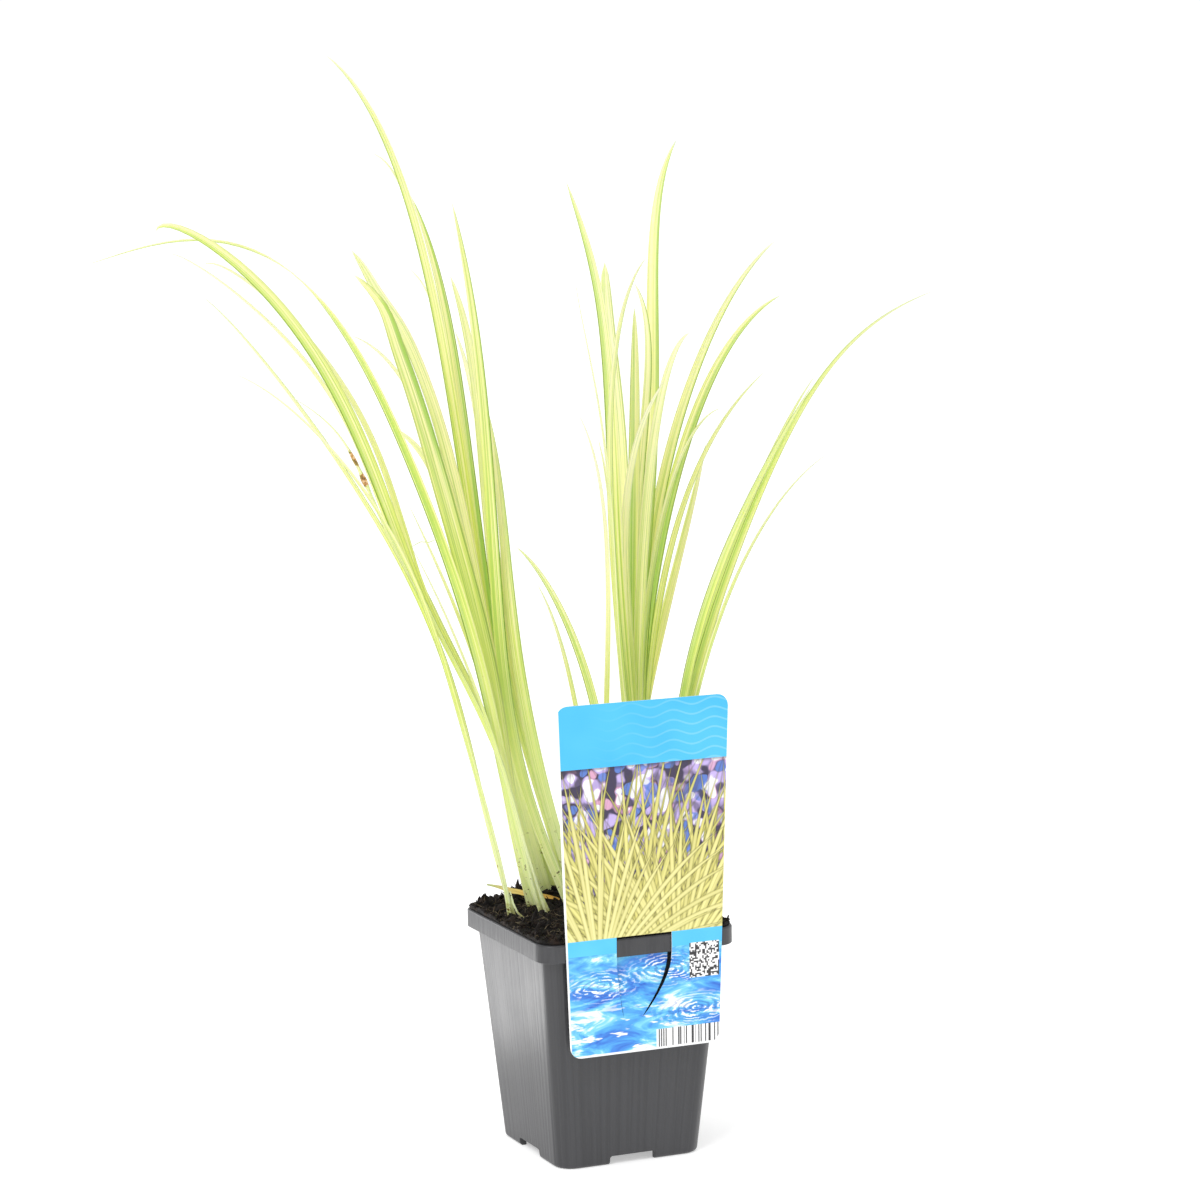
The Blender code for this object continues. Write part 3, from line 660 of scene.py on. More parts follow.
def card_plain(name, low, high):
    """A plain printed colour with the faint unevenness of ink on plastic; on the slit's cut faces it is a
    near-black painted shadow for the shade inside the cut.
    """
    f, place, _, _ = card_start(name)
    f.shade = f.mix(f.step(f.noise(place, 40, 3), 0.3, 0.7), low, high)
    return card_done(f, place)


def card_header():
    """Light blue ground with a quiet pattern of long ripples."""
    f, place, x, z = card_start("card_header_blue")
    swell = f.sum("SINE", x * 330) * 0.0012
    rows = f.sum("SINE", (z + swell) * 1500)
    f.shade = f.mix(f.step(f.noise(place, 30, 2), 0.3, 0.7), "42BAF4", "4EC2FA")
    fade = f.step(x, -0.03, 0.036)
    f.lay(f.step(rows, 0.72, 0.95) * fade * 0.3, "A9E2FF")
    return card_done(f, place)


def card_picture():
    """Long straw-coloured blades that cross from both sides before a lilac garden, out of focus."""
    f, place, x, z = card_start("card_picture")
    flat = f.join(x, z + f.noise(place, 120, 2) * 0.004)
    discs = f.node("TexVoronoi", {"Vector": flat, "Scale": 260}, feature="SMOOTH_F1", voronoi_dimensions="2D")
    one, two, three = f.split(f.read(discs, "Color"))
    f.shade = f.mix(f.step(one, 0.3, 0.62), "3C3350", "C6B2EA")
    f.lay(f.step(two, 0.5, 0.72) * 0.8, "F0B4D4")
    f.lay(f.step(three, 0.58, 0.74) * 0.8, "5F86DC")
    f.lay(f.step(one + two, 1.12, 1.3), "FCFAFD")
    f.lay(f.step(f.noise(place, 55, 2), 0.52, 0.64) * 0.5, "40354E")
    fans = (
        # base x, base z, lean, blades per radian, opening, longest, half width, darkest, lightest
        (-0.024, 0.076, 0.05, 21, 24, 0.112, 0.85, "8A8E42", "C6C162"),
        (0.026, 0.076, -0.1, 20, 20, 0.114, 0.85, "929246", "D0C96A"),
        (-0.010, 0.066, 0.1, 23, 16, 0.124, 0.85, "9E9C4C", "D8D072"),
        (-0.031, 0.084, 0.45, 15, -10, 0.106, 0.85, "A9A54C", "DFD77A"),
        (0.034, 0.082, -0.5, 15, -12, 0.100, 0.85, "ACA654", "E6DE84"),
        (0.008, 0.062, -0.05, 21, 18, 0.122, 0.9, "B0AA56", "E8DF80"),
        (-0.006, 0.078, 0.1, 14, 24, 0.114, 0.9, "B6B25A", "ECE48C"),
        (0.016, 0.082, -0.2, 12, 26, 0.098, 0.95, "C0BA66", "F2EA9A"),
        (-0.020, 0.084, -0.1, 11, 28, 0.096, 0.95, "C6C06A", "F5EEA6"),
    )
    for number, (base_x, base_z, lean, count, opening, longest, half, dark, light) in enumerate(fans):
        dx, dz = x - base_x, z - base_z
        far = f.distance(dx, dz)
        opened = far * far * opening + 1.0
        turn = (f.sum("ARCTAN2", dx, dz) - lean) / opened
        inputs = {"W": turn * count + number * 31.7, "Scale": 1.0}
        blades = f.node("TexVoronoi", inputs, voronoi_dimensions="1D")
        tone = f.split(f.read(blades, "Color"))
        reach = (tone[0] * 0.42 + 0.58) * longest
        width = f.sum("MINIMUM", (1.0 - far / reach) * 3.2, 1.0) * (half * MM)
        inside = width - f.read(blades, "Distance") * far * opened * (1 / count)
        f.lay(f.step(inside, -0.6 * MM, 0.0) * 0.38, "4A4424")
        rib = f.step(inside, 0.0, half * 0.8 * MM)
        tint = f.mix(rib * 0.6 + tone[1] * 0.4, dark, light)
        f.lay(f.step(inside, 0.0, 0.14 * MM), tint)
    shaded_top = f.step(z, (HEADER_FOOT - 1.7) * MM, HEADER_FOOT * MM, 0.0, 0.6)
    f.lay(shaded_top, "241F2C")
    return card_done(f, place)


def card_water():
    """Bright water with broken rings that cross."""
    f, place, x, z = card_start("card_water")
    drift = f.noise(f.stretch(place, (1, 1, 2.4)), 60, 4, 0.6, 0.8)
    broken = f.step(f.noise(f.stretch(place, (1, 1, 2.6)), 170, 3, 0.6), 0.47, 0.53)
    f.shade = f.ramp(
        f.noise(f.stretch(place, (1, 1, 3.0)), 44, 4, 0.6, 1.0),
        (0.3, "2458C4"), (0.4, "3C86E2"), (0.5, "55B4F0"), (0.58, "86DAF8"), (0.64, "F4FCFF"),
    )
    glint = f.step(f.noise(f.stretch(place, (1, 1, 4.5)), 75, 3, 0.6), 0.56, 0.62)
    f.lay(glint * f.step(z, 0.082, 0.06), "FFFFFF")
    for ring_x, ring_z in ((-0.019, 0.081), (0.012, 0.085), (0.024, 0.067)):
        far = f.distance(x - ring_x, (z - ring_z) * 2.6)
        wave = f.sum("SINE", far * 1900 + drift * 24)
        fade = f.step(far, 0.024, 0.006)
        f.lay(f.step(wave, -0.2, -0.8) * fade * 0.5, "2A55B4")
        f.lay(f.step(wave, 0.3, 0.7) * broken * fade, "FCFEFF")
    return card_done(f, place)


def card_cells(name, cell, dimensions, dark):
    """White with dark cells here and there, one for each whole number or pair of them."""
    f, place, x, z = card_start(name)
    rows = {"W": f.sum("FLOOR", x * cell)}
    if dimensions == "2D":
        rows = {"Vector": f.join(f.sum("FLOOR", x * cell), f.sum("FLOOR", z * cell))}
    cells = f.read(f.node("TexWhiteNoise", rows, noise_dimensions=dimensions), "Value")
    f.shade = f.mix(f.step(cells, 0.52, 0.56), "FBFBFB", dark)
    return card_done(f, place)


# Pot

def make_pot():
    """The pot, from a tapered block whose top is drawn out into the rim and then down into the hollow."""
    pot = tapered_block("pot_shell", BASE_HALF, 0, WALL_TOP_HALF, WALL_TOP, WALL_CORNER, 10)
    pick(pot, "FACE", lambda c, n: n.z < -0.9)
    bpy.ops.mesh.region_to_loop()
    round_off(BASE_ROUNDING, 5)
    pick(pot, "FACE", lambda c, n: n.z < -0.99)
    bpy.ops.mesh.inset(thickness=BASE_EDGE * MM)
    draw_up(FLOOR_UP)
    pick(pot, "FACE", lambda c, n: n.z > 0.99)
    half, level = WALL_TOP_HALF, WALL_TOP
    for new_half, new_level in RIM_AND_HOLLOW:
        draw_up(new_level - level)
        widen(new_half / half, new_level)
        half, level = new_half, new_level
    done()
    for turn in range(4):
        notch = box("notch", (-NOTCH_HALF, -40, -5), (NOTCH_HALF, -26, NOTCH_TOP))
        edit(notch)
        pick(notch, "EDGE", lambda a, b: a.z > 0 and b.z > 0 and abs(a.x - b.x) < 0.001)
        round_off(NOTCH_ROUNDING, 4)
        done()
        notch.rotation_euler = (0, 0, turn * math.pi / 2)
        apply_place(notch)
        cut_away(pot, notch)
    for x in (-HOLE_AT, HOLE_AT):
        for y in (-HOLE_AT, HOLE_AT):
            cut_away(pot, cylinder("drain_hole", 32, HOLE_RADIUS, 6, (x, y, 4.6)))
    cut_away(pot, cylinder("centre_pad", 48, PAD_RADIUS, 4.4, (0, 0, 2.2)), "UNION")
    finish_with(pot, "BEVEL", width=0.25 * MM, segments=2, limit_method="ANGLE", angle_limit=math.radians(50))
    smooth(pot, 40)
    finish_with(pot, "WEIGHTED_NORMAL", keep_sharp=True, weight=100)
    give(pot, pot_plastic())
    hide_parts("pot")


# Plant tag

def print_field(place, normal):
    """Which finish a face of the card has, by its place in millimetres."""
    x, _, z = place
    # Inside the slit, the right cut faces take a near-black painted shadow, and the left ones take the water
    # print
    if abs(normal.y) < 0.5 and abs(x) < SLIT_HALF and SLIT_FOOT < z < SLIT_TOP:
        return "slit" if x > 0 else "water"
    if normal.y > -0.5:
        return "white"
    if z > HEADER_FOOT:
        return "header"
    if z > PICTURE_FOOT:
        return "picture"
    across_checks = CHECKS_LEFT < x < CHECKS_RIGHT
    if z > BAND_FOOT and not (z < CHECKS_TOP and across_checks):
        return "band"
    if z > CHECKS_FOOT and across_checks:
        return "checks"
    if z < BARS_TOP and x > BARS_LEFT:
        return "bars"
    return "water"


def make_tag():
    """The card, from the CAD's own form, with its print laid out between level lines."""
    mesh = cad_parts["plant_tag"].data.copy()
    card = put_in("plant_tag_card", mesh)
    mesh.materials.clear()
    edit(card)
    bpy.ops.mesh.remove_doubles(threshold=1e-5)
    for level in (HEADER_FOOT, PICTURE_FOOT, BAND_FOOT, BARS_TOP, CHECKS_FOOT, CHECKS_TOP):
        bpy.ops.mesh.select_all(action="SELECT")
        bpy.ops.mesh.bisect(plane_co=(0, 0, level * MM), plane_no=(0, 0, 1))
    for side in (BARS_LEFT, CHECKS_LEFT, CHECKS_RIGHT):
        bpy.ops.mesh.select_all(action="SELECT")
        bpy.ops.mesh.bisect(plane_co=(side * MM, 0, 0), plane_no=(1, 0, 0))
    done()
    finishes = {
        "white": card_plain("card_white", "F4F6F7", "FFFFFF"),
        "header": card_header(),
        "picture": card_picture(),
        "band": card_plain("card_band_blue", "50C2FA", "5CCBFF"),
        "water": card_water(),
        "bars": card_cells("card_bars", 1900, "1D", "3A3A3C"),
        "checks": card_cells("card_checks", 1500, "2D", "333335"),
        # The slit's right cut faces get a near-black painted shadow, for the shade inside the cut
        "slit": card_plain("card_slit_painted_shadow", "121315", "1C1D20"),
    }
    for finish in finishes.values():
        mesh.materials.append(finish)
    fields = list(finishes)
    for face in mesh.polygons:
        face.material_index = fields.index(print_field(face.center / MM, face.normal))
    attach(card, "root")
    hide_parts("plant_tag")
    smooth(card, 20)


# Leaves

def eased(share):
    """A share kept between 0 and 1 and made smooth at both ends."""
    share = min(1.0, max(0.0, share))
    return share * share * (3 - 2 * share)


def bell(t, at, reach):
    """1 at a place along a leaf, and less the farther from it."""
    return np.exp(-((t - at) / reach) ** 2)


def leaf_half_width(t, foot_width, width, lateness, spread_share):
    """The leaf spreads from its foot's width to its own and tapers to the tip."""
    body = foot_width + (width - foot_width) * eased(t / spread_share) ** 2
    return 0.5 * body * (1 - t**lateness) ** TAPER_BLUNTNESS


def section_outline():
    """The closed outline of a blade, one unit to each edge: a shallow channel, thick in the middle."""
    places = [math.cos(math.pi * k / SECTION_STEPS) for k in range(SECTION_STEPS + 1)]
    outline = []
    for xs, swell, edge in ((places, FACE_SWELL, EDGE_HALF), (places[::-1], -BACK_SWELL, -EDGE_HALF)):
        outline += [(x, CHANNEL_DEPTH * abs(x) ** 1.4 + swell * (1 - x * x) + edge) for x in xs]
    return outline


SECTION = section_outline()


def new_line(curve, count):
    line = curve.data.splines.new("POLY")
    line.points.add(count - 1)
    return line


def make_section():
    section = added(bpy.ops.curve.primitive_bezier_circle_add, "blade_section", location=(0, 0, 0))
    section.data.splines.clear()
    line = new_line(section, len(SECTION))
    for point, (x, y) in zip(line.points, SECTION):
        point.co = (x * MM, y * MM, 0, 1)
    line.use_cyclic_u = True
    section.data.dimensions = "2D"
    return section


def blade_curve(name, stations, section):
    """A curve drawn flat, x across, y up and z towards the front, then stood up at the plant's place in the
    pot. Each station is (across, up, back, half width, turn)."""
    blade = added(bpy.ops.curve.primitive_nurbs_path_add, name, location=(0, 0, 0))
    blade.data.splines.clear()
    line = new_line(blade, len(stations))
    for point, (across, up, back, half_width, turn) in zip(line.points, stations):
        point.co = (across * MM, up * MM, -back * MM, 1)
        point.radius = half_width
        point.tilt = turn
    blade.data.dimensions = "3D"
    blade.data.twist_mode = "Z_UP"
    blade.data.bevel_mode = "OBJECT"
    blade.data.bevel_object = section
    blade.matrix_world = Matrix.Rotation(PLANT_TURN, 4, "Z") @ Matrix.Rotation(math.pi / 2, 4, "X")
    return blade


def as_meshes(curves):
    """Turns curves into meshes that hold their own place."""
    bpy.ops.object.select_all(action="DESELECT")
    for curve in curves:
        curve.select_set(True)
    bpy.context.view_layer.objects.active = curves[0]
    bpy.ops.object.convert(target="MESH")
    bpy.ops.object.transform_apply(location=True, rotation=True, scale=True)


def ring_places(name):
    """How far along a leaf its rings are: evenly, and close together where it is shrivelled."""
    places = [ring / LEAF_RINGS for ring in range(LEAF_RINGS + 1)]
    for at, reach, _ in DEAD_PLACES.get(name, ()):
        places += [at + reach * step / 4 for step in range(-9, 10)]
    return sorted(places)


def path_place(foot_across, drawn_to, t):
    """The place at share t of a bent path from the foot over the places it is drawn to."""
    places = [np.array((foot_across, LEAF_FOOT_UP), float)] + [np.array(place, float) for place in drawn_to]
    while len(places) > 1:
        places = [a + (b - a) * t for a, b in zip(places, places[1:])]
    return places[0]


def followed_path():
    """Places (across, up) on the lower part of the leaf that others lie along."""
    shoot, number = FOLLOWED.rsplit("_leaf_", 1)
    foot, rows = SHOOTS[shoot]
    foot_across = foot[0] + FOOT_SLANT[shoot][0]
    drawn_to = rows[int(number) - 1][0]
    return np.array([path_place(foot_across, drawn_to, FOLLOWED_SHARE * step / 60) for step in range(61)])


def leaf_stations(foot, leaf, own, name, leader):
    drawn_to, lean, foot_width, width, turn, lateness = leaf[:6]
    push_at, push_reach, push = PUSHES.get(name, (0, 1, 0))
    pale_at, pale_reach, pinch = BLEACHED_PLACES.get(name, (0, 1, 0))
    stations = []
    for t in ring_places(name):
        across, up = path_place(foot[0], drawn_to, t)
        if name in FOLLOWERS:
            led = np.interp(up, leader[:, 1], leader[:, 0])
            across = led + (across - led) * eased((up - FOLLOW_UP_TO) / FOLLOW_FADE)
        across += push * bell(t, push_at, push_reach)
        rise = max(0.0, up - SOIL_LEVEL) / LEAN_RISE
        back = foot[1] + lean * rise**LEAN_POWER
        half_width = leaf_half_width(t, foot_width, width, lateness, LATE_SPREAD.get(name, SPREAD_SHARE))
        half_width *= 1 + 0.05 * noise.noise((own * 3.1, 6 * t, 0))
        half_width *= 1 + sum(swell * bell(t, at, reach) for at, reach, swell in DEAD_PLACES.get(name, ()))
        half_width *= 1 - pinch * bell(t, pale_at, pale_reach)
        twist = math.radians(turn) * t**TURN_POWER + 0.12 * t * noise.noise((own * 5.7, 4 * t, 2))
        stations.append((across, up, back, max(half_width, 0.0), twist))
    across, up, back, *_ = stations[0]
    return [(across, up - 0.4, back, 0.0, 0.0), *stations]


def paint_blade(blade, rings, own, paint, lines, name):
    """Gives each point of a blade its place across and along, the leaf's own number and its paint."""
    mesh = blade.data
    index = np.arange(len(mesh.vertices))
    along = np.array(rings)[index // len(SECTION)]
    layers = {layer: np.ones((len(index), 4), np.float32) for layer in ("blade", "paint", "lines")}
    layers["blade"][:, 0] = np.array(SECTION)[index % len(SECTION), 0]
    layers["blade"][:, 1] = along
    layers["blade"][:, 2] = own
    layers["paint"][:, :3] = paint
    layers["lines"][:, :2] = lines
    if name in GREEN_SPANS:
        start, end = GREEN_SPANS[name]
        rising = np.clip((along - start) / 0.12, 0, 1)
        falling = np.clip((end - along) / 0.015, 0, 1)
        layers["paint"][:, 2] *= rising * falling
    if name in BLEACHED_PLACES:
        at, reach, _ = BLEACHED_PLACES[name]
        fresh = 1 - bell(along, at, reach)
        layers["paint"][:, 0] *= fresh
        layers["paint"][:, 2] *= fresh
        layers["lines"][:, :2] *= fresh[:, None]
    layers["lines"][:, 2] = sum(bell(along, at, reach) for at, reach, _ in DEAD_PLACES.get(name, ()))
    for layer, values in layers.items():
        mesh.attributes.new(layer, "FLOAT_COLOR", "POINT").data.foreach_set("color", values.ravel())


def finish_blade(blade, rings, own, paint, lines, finish, name=""):
    """Paints a blade, closes its ends and smooths it."""
    paint_blade(blade, rings, own, paint, lines, name)
    edit(blade, "VERT")
    bpy.ops.mesh.remove_doubles(threshold=1e-6)
    bpy.ops.mesh.normals_make_consistent(inside=False)
    done()
    smooth(blade, 60)
    give(blade, finish)


def make_leaves(section, green_leaf):
    """The leaves, shoot by shoot, each on its own layer and on alternate sides of its shoot."""
    leader = followed_path()
    leaves = []
    for shoot, (foot, rows) in SHOOTS.items():
        shift, slant, depth = FOOT_SLANT.get(shoot, (0, 0, 0))
        for number, row in enumerate(rows):
            side = SIDE_OFFSET if number % 2 else -SIDE_OFFSET
            layer = (number - (len(rows) - 1) / 2) * LAYER_PITCH
            name = f"{shoot}_leaf_{number + 1}"
            place = (foot[0] + side + shift + slant * layer, foot[1] + layer * (1 + depth))
            stations = leaf_stations(place, row, len(leaves) + 1, name, leader)
            leaves.append((blade_curve(name + "_blade", stations, section), name, *row[6:]))
    as_meshes([leaf for leaf, *_ in leaves])
    for own, (leaf, name, paint, lines) in enumerate(leaves, 1):
        finish_blade(leaf, [0.0, *ring_places(name)], own, paint, lines, green_leaf, name)
        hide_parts(name)


def loose_blade(name, stations, section, own, paint, lines, finish):
    """A blade that grows from nothing here, closed at both ends."""
    foot, tip = [(*stations[end][:3], 0.0, 0.0) for end in (0, -1)]
    blade = blade_curve(name, [foot, *stations, tip], section)
    as_meshes([blade])
    rings = [0.0, *np.linspace(0, 1, len(stations)), 1.0]
    finish_blade(blade, rings, own, paint, lines, finish)
    return blade


def make_fallen_leaf(section):
    """The dead leaf on the soil, uneven along its length."""
    path = np.array(FALLEN_PATH, float)
    stations = []
    for ring in range(LOOSE_RINGS + 1):
        t = ring / LOOSE_RINGS
        across = path[0, 0] + (path[-1, 0] - path[0, 0]) * t
        up = np.interp(across, path[:, 0], path[:, 1]) + 0.25 * noise.noise((9 * t, 3, 1))
        back = FALLEN_BACK + 0.6 * noise.noise((4 * t, 8, 1))
        half_width = FALLEN_HALF_WIDTH * math.sin(math.pi * (0.04 + 0.92 * t)) ** 0.6
        turn = math.radians(FALLEN_TURN) + 0.5 * noise.noise((5 * t, 1, 7))
        stations.append((across, up, back, half_width, turn))
    paint, lines = (0.2, 0.0, 0.0), (0.0, 0.0)
    leaf = loose_blade("fallen_leaf_blade", stations, section, 60, paint, lines, dry_leaf_finish())
    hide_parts("fallen_leaf")


def make_dry_bits(section, green_leaf):
    """The dry bits, each bent over its places and thin at both ends."""
    for name, (places, half_width, turn) in DRY_BITS.items():
        places = np.array(places, float)
        at = np.linspace(0, len(places) - 1, DRY_BIT_RINGS + 1)
        line = np.column_stack([np.interp(at, np.arange(len(places)), places[:, axis]) for axis in range(3)])
        line[1:-1] = (line[:-2] + 2 * line[1:-1] + line[2:]) / 4
        stations = []
        for ring, point in enumerate(line):
            width = half_width * math.sin(math.pi * (0.06 + 0.88 * ring / DRY_BIT_RINGS)) ** 0.5
            stations.append((*point, width, math.radians(turn)))
        loose_blade(name, stations, section, 0.4, (0.9, 0.0, 0.7), (0.5, 0.5), green_leaf)


# Soil

def in_plant_frame(x, y):
    """A place in the pot as across and back in the plant's frame, in millimetres."""
    return Matrix.Rotation(-PLANT_TURN, 2) @ Vector((x, y)) / MM


def soil_height(x, y):
    """Height of the soil's top in metres: low behind the tag, a rough ridge along the far side."""
    reach = min(1.0, max(abs(x), abs(y)) / (SOIL_EDGE * MM))
    inward = 1 - reach**7
    across, back = in_plant_frame(x, y)
    ridge = RIDGE_HEIGHT * math.exp(-(((back - RIDGE_BACK) / RIDGE_WIDTH) ** 2))
    ridge /= 1 + math.exp(-(across - RIDGE_LEFT) / RIDGE_FADE)
    lump = noise.noise(Vector((x, y, 0)) / (11 * MM)) * 1.6
    crumb = noise.noise(Vector((x, y, 2.2 * MM)) / (4.5 * MM)) * 1.3
    fine = noise.noise(Vector((x, y, 0.01)) / (1.7 * MM)) * 0.7
    return (SOIL_MEAN + inward * ridge + lump * (0.3 + 0.7 * inward) + crumb + fine) * MM


def make_soil(finish):
    """The soil in the pot, a plain tapered block, and its top, a bed that swells over the rim."""
    block = tapered_block("soil_block", *SOIL_BLOCK, SOIL_CORNER, 6)
    done()
    smooth(block, 40)
    give(block, finish)

    bed = tapered_block("soil_bed", BED_HALF, BED_FOOT, BED_HALF, BED_SWELL_FOOT, SOIL_CORNER - 0.2, 8)
    pick(bed, "FACE", lambda c, n: n.z > 0.9)
    draw_up(0)
    widen(BED_SWELL_HALF / BED_HALF, BED_SWELL_FOOT)
    draw_up(BED_SWELL)
    done()
    only(bed)
    bed.data.remesh_voxel_size = BED_DETAIL * MM
    bpy.ops.object.voxel_remesh()
    for vertex in bed.data.vertices:
        share = min(1.0, max(0.0, (vertex.co.z - BED_MOVES_FROM * MM) / MM))
        vertex.co.z += share * (soil_height(vertex.co.x, vertex.co.y) - BED_FLAT_TOP * MM)
    smooth(bed, 70)
    give(bed, finish)
    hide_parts("soil")
    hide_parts("soil")


def crumb_shape(number, fineness):
    """A crumb: a small ball pushed out of round."""
    crumb = added(
        bpy.ops.mesh.primitive_ico_sphere_add, "crumb", subdivisions=fineness, radius=1, location=(0, 0, 0))
    for vertex in crumb.data.vertices:
        push = noise.noise(vertex.co * 1.3 + Vector((number * 7, 0, 0)))
        push += 0.5 * noise.noise(vertex.co * 3.1 + Vector((0, number * 5, 0)))
        vertex.co *= 1 + 0.55 * push
    return crumb


def joined_copies(name, shapes, places):
    """One piece made of copies of the shapes, each at its own (shape number, matrix)."""
    forms = []
    for shape in shapes:
        mesh = shape.data
        forms.append((np.array([v.co for v in mesh.vertices]), np.array([p.vertices for p in mesh.polygons])))
    points, faces, start = [], [], 0
    for number, matrix in places:
        form_points, form_faces = forms[number]
        points.append(form_points @ np.array(matrix.to_3x3()).T + np.array(matrix.translation))
        faces.append(form_faces + start)
        start += len(form_points)
    mesh = bpy.data.meshes.new(name)
    mesh.from_pydata(np.concatenate(points).tolist(), [], np.concatenate(faces).tolist())
    return put_in(name, mesh)


def in_rim(x, y, half):
    """Whether a place lies inside a square of that half width with rounded corners."""
    inner = half - SOIL_CORNER * MM
    dx, dy = max(0.0, abs(x) - inner), max(0.0, abs(y) - inner)
    return math.hypot(dx, dy) < SOIL_CORNER * MM


def near_foot(x, y, room):
    """Whether a place is close to a shoot's foot."""
    across, back = in_plant_frame(x, y)
    for foot, rows in SHOOTS.values():
        if abs(across - foot[0]) < 4 + room and abs(back - foot[1]) < len(rows) / 2 + room:
            return True
    return False


def make_crumbs(name, finish, seed, count, fineness, sizes):
    """Crumbs and flat bits of bark strewn over the soil, as one piece."""
    random.seed(seed)
    shapes = [crumb_shape(number, fineness) for number in range(CRUMB_SHAPES)]
    places = []
    while len(places) < count:
        x, y = random.uniform(-44, 44) * MM, random.uniform(-44, 44) * MM
        size = random.uniform(*sizes) * random.uniform(0.8, 1.2) * MM
        if not in_rim(x, y, 44.4 * MM - size):
            continue
        if near_foot(x, y, 0.5) and size > 1 * MM:
            continue
        up = soil_height(x, y) + random.uniform(-0.2, 0.6) * size
        turn = Euler([random.uniform(0, 6.3) for _ in range(3)]).to_matrix().to_4x4()
        if random.random() < FLAT_SHARE:
            sides = random.uniform(1.3, 2.2), random.uniform(0.4, 0.8), random.uniform(0.25, 0.45)
        else:
            sides = random.uniform(0.7, 1.3), random.uniform(0.7, 1.2), random.uniform(0.5, 1.0)
        shaped = turn @ Matrix.Diagonal((*sides, 1)) @ Matrix.Scale(size, 4)
        places.append((random.randrange(CRUMB_SHAPES), Matrix.Translation((x, y, up)) @ shaped))
    crumbs = joined_copies(name, shapes, places)
    smooth(crumbs, 50)
    give(crumbs, finish)
    for shape in shapes:
        bpy.data.objects.remove(shape, do_unlink=True)


def make_fibres(finish):
    """Bark threads and bits of root that lie on the soil, some with an end that rises."""
    random.seed(5)
    threads = added(bpy.ops.curve.primitive_nurbs_path_add, "soil_fibres", location=(0, 0, 0))
    threads.data.splines.clear()
    while len(threads.data.splines) < FIBRES:
        x, y = random.uniform(-43, 43) * MM, random.uniform(-43, 43) * MM
        if not in_rim(x, y, 43 * MM):
            continue
        heading = random.uniform(0, 2 * math.pi)
        curl = random.uniform(-0.7, 0.7)
        step = random.uniform(0.5, 1.7) * MM
        lift = random.uniform(0.1, 0.9) * MM
        rise = random.choice((0.0, 0.0, 0.0, 0.35, 0.6)) * MM
        thick = random.choice((0.6, 0.8, 1.0, 1.6)) * random.uniform(0.7, 1.2)
        for number, point in enumerate(new_line(threads, FIBRE_POINTS).points):
            if not in_rim(x, y, 44 * MM):
                heading += math.pi
            wave = 0.5 * MM * math.sin(number + lift * 9000)
            point.co = (x, y, soil_height(x, y) + lift + rise * number + wave, 1)
            point.radius = thick * (1 - 0.6 * abs(number / (FIBRE_POINTS - 1) - 0.4))
            heading += curl + random.uniform(-0.25, 0.25)
            x += step * math.cos(heading)
            y += step * math.sin(heading)
    threads.data.dimensions = "3D"
    threads.data.bevel_depth = FIBRE_RADIUS * MM
    threads.data.bevel_resolution = 0
    threads.data.use_fill_caps = True
    as_meshes([threads])
    smooth(threads, 60)
    give(threads, finish)


# Stage

def make_stage():
    """A white table lit from within, so that it shows hardly any shadow, and a white room."""
    floor = added(bpy.ops.mesh.primitive_plane_add, "floor", size=60, location=(0, 0, 0))
    f = Finish("floor", Specular_IOR_Level=0.1, Emission_Strength=TABLE_GLOW)
    f.shader.inputs["Emission Color"].default_value = (1, 1, 1, 1)
    f.shade = f.mix(f.step(f.noise(f.place(), 3, 2), 0.3, 0.7), "F6F6F6", "F8F8F8")
    floor.data.materials.append(f.finished(0.8))

    world = bpy.data.worlds.new("studio")
    bpy.context.scene.world = world
    world.use_nodes = True
    tree = world.node_tree
    sky = tree.nodes["Background"]
    sky.inputs["Color"].default_value = (1, 1, 1, 1)
    seen = tree.nodes.new("ShaderNodeLightPath").outputs["Is Camera Ray"]
    strength = tree.nodes.new("ShaderNodeMapRange")
    strength.inputs["To Min"].default_value = ROOM_LIGHT
    strength.inputs["To Max"].default_value = BACKDROP_LIGHT
    tree.links.new(seen, strength.inputs["Value"])
    tree.links.new(strength.outputs[0], sky.inputs["Strength"])


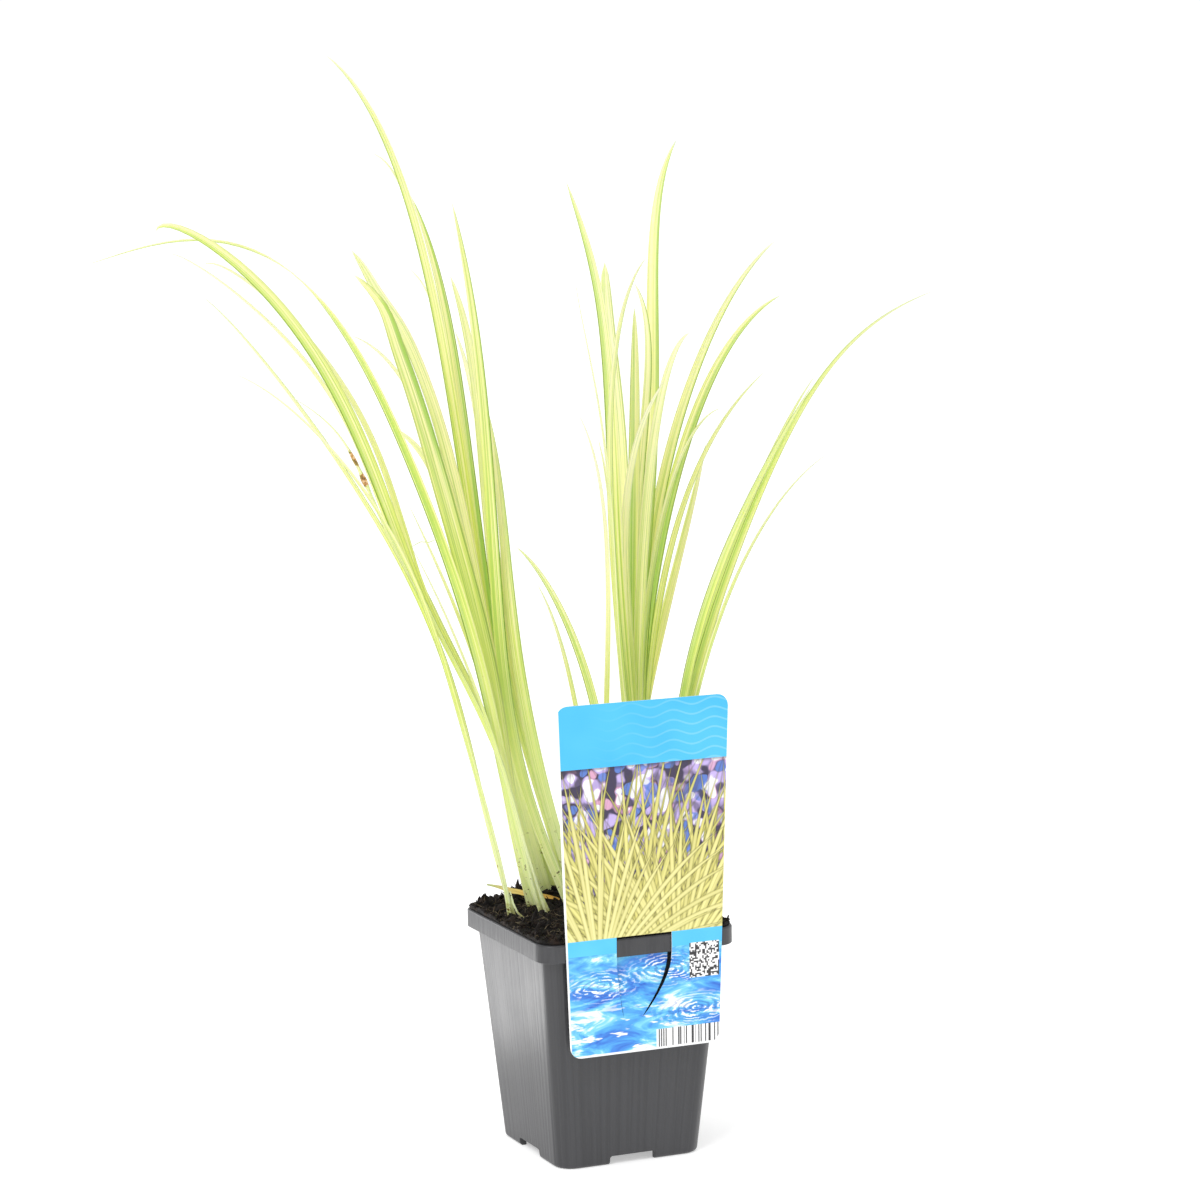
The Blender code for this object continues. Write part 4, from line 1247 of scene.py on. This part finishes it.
def soft_light(name, place, target, size, power):
    light = bpy.data.lights.new(name, "AREA")
    light.shape = "RECTANGLE"
    light.size, light.size_y = size
    light.energy = power
    obj = put_in(name, light)
    obj.location = place
    obj.rotation_euler = (Vector(target) - Vector(place)).to_track_quat("-Z", "Y").to_euler()


def make_lights():
    """A broad light from the left, a low one behind the pot's left side, and the table's glow below that."""
    soft_light("key_left", (-1.3, -0.9, 1.5), (0, 0, 0.25), (0.9, 0.9), 15)
    soft_light("low_back_left", (-0.75, 1.35, 0.22), (0, 0, 0.05), (0.9, 0.34), 4)
    soft_light("floor_glow", (-0.135, 0.235, 0.002), (-0.135, 0.235, 1), (0.12, 0.22), 0.22)


def make_camera():
    side, away = -math.sin(CAMERA_TURN), -math.cos(CAMERA_TURN)
    place = Vector((CAMERA_DISTANCE * side, CAMERA_DISTANCE * away, CAMERA_HEIGHT))
    facing = CAMERA_TURN + CAMERA_SIDE
    level = math.cos(CAMERA_DOWN)
    forward = Vector((math.sin(facing) * level, math.cos(facing) * level, -math.sin(CAMERA_DOWN)))
    right = Vector((math.cos(facing), -math.sin(facing), 0))
    up = right.cross(forward)
    rolled_right = math.cos(CAMERA_ROLL) * right + math.sin(CAMERA_ROLL) * up
    rolled_up = math.cos(CAMERA_ROLL) * up - math.sin(CAMERA_ROLL) * right
    data = bpy.data.cameras.new("camera")
    data.lens = CAMERA_LENS
    data.sensor_width = CAMERA_SENSOR
    data.clip_start = 0.05
    data.clip_end = 50
    camera = put_in("camera", data)
    turn = Matrix((rolled_right, rolled_up, -forward)).transposed().to_4x4()
    camera.matrix_world = Matrix.Translation(place) @ turn
    bpy.context.scene.camera = camera
    bpy.context.scene.view_settings.view_transform = "Standard"


make_camera()
make_lights()
make_stage()
make_pot()
make_tag()
blade_section = make_section()
green_leaf = leaf_finish()
make_leaves(blade_section, green_leaf)
make_fallen_leaf(blade_section)
make_dry_bits(blade_section, green_leaf)
bpy.data.objects.remove(blade_section, do_unlink=True)
soil = soil_finish()
make_soil(soil)
make_crumbs("soil_grit", soil, 12, 3600, 1, (0.35, 1.0))
make_crumbs("soil_lumps", soil, 13, 420, 2, (1.0, 2.3))
make_fibres(fibre_finish())
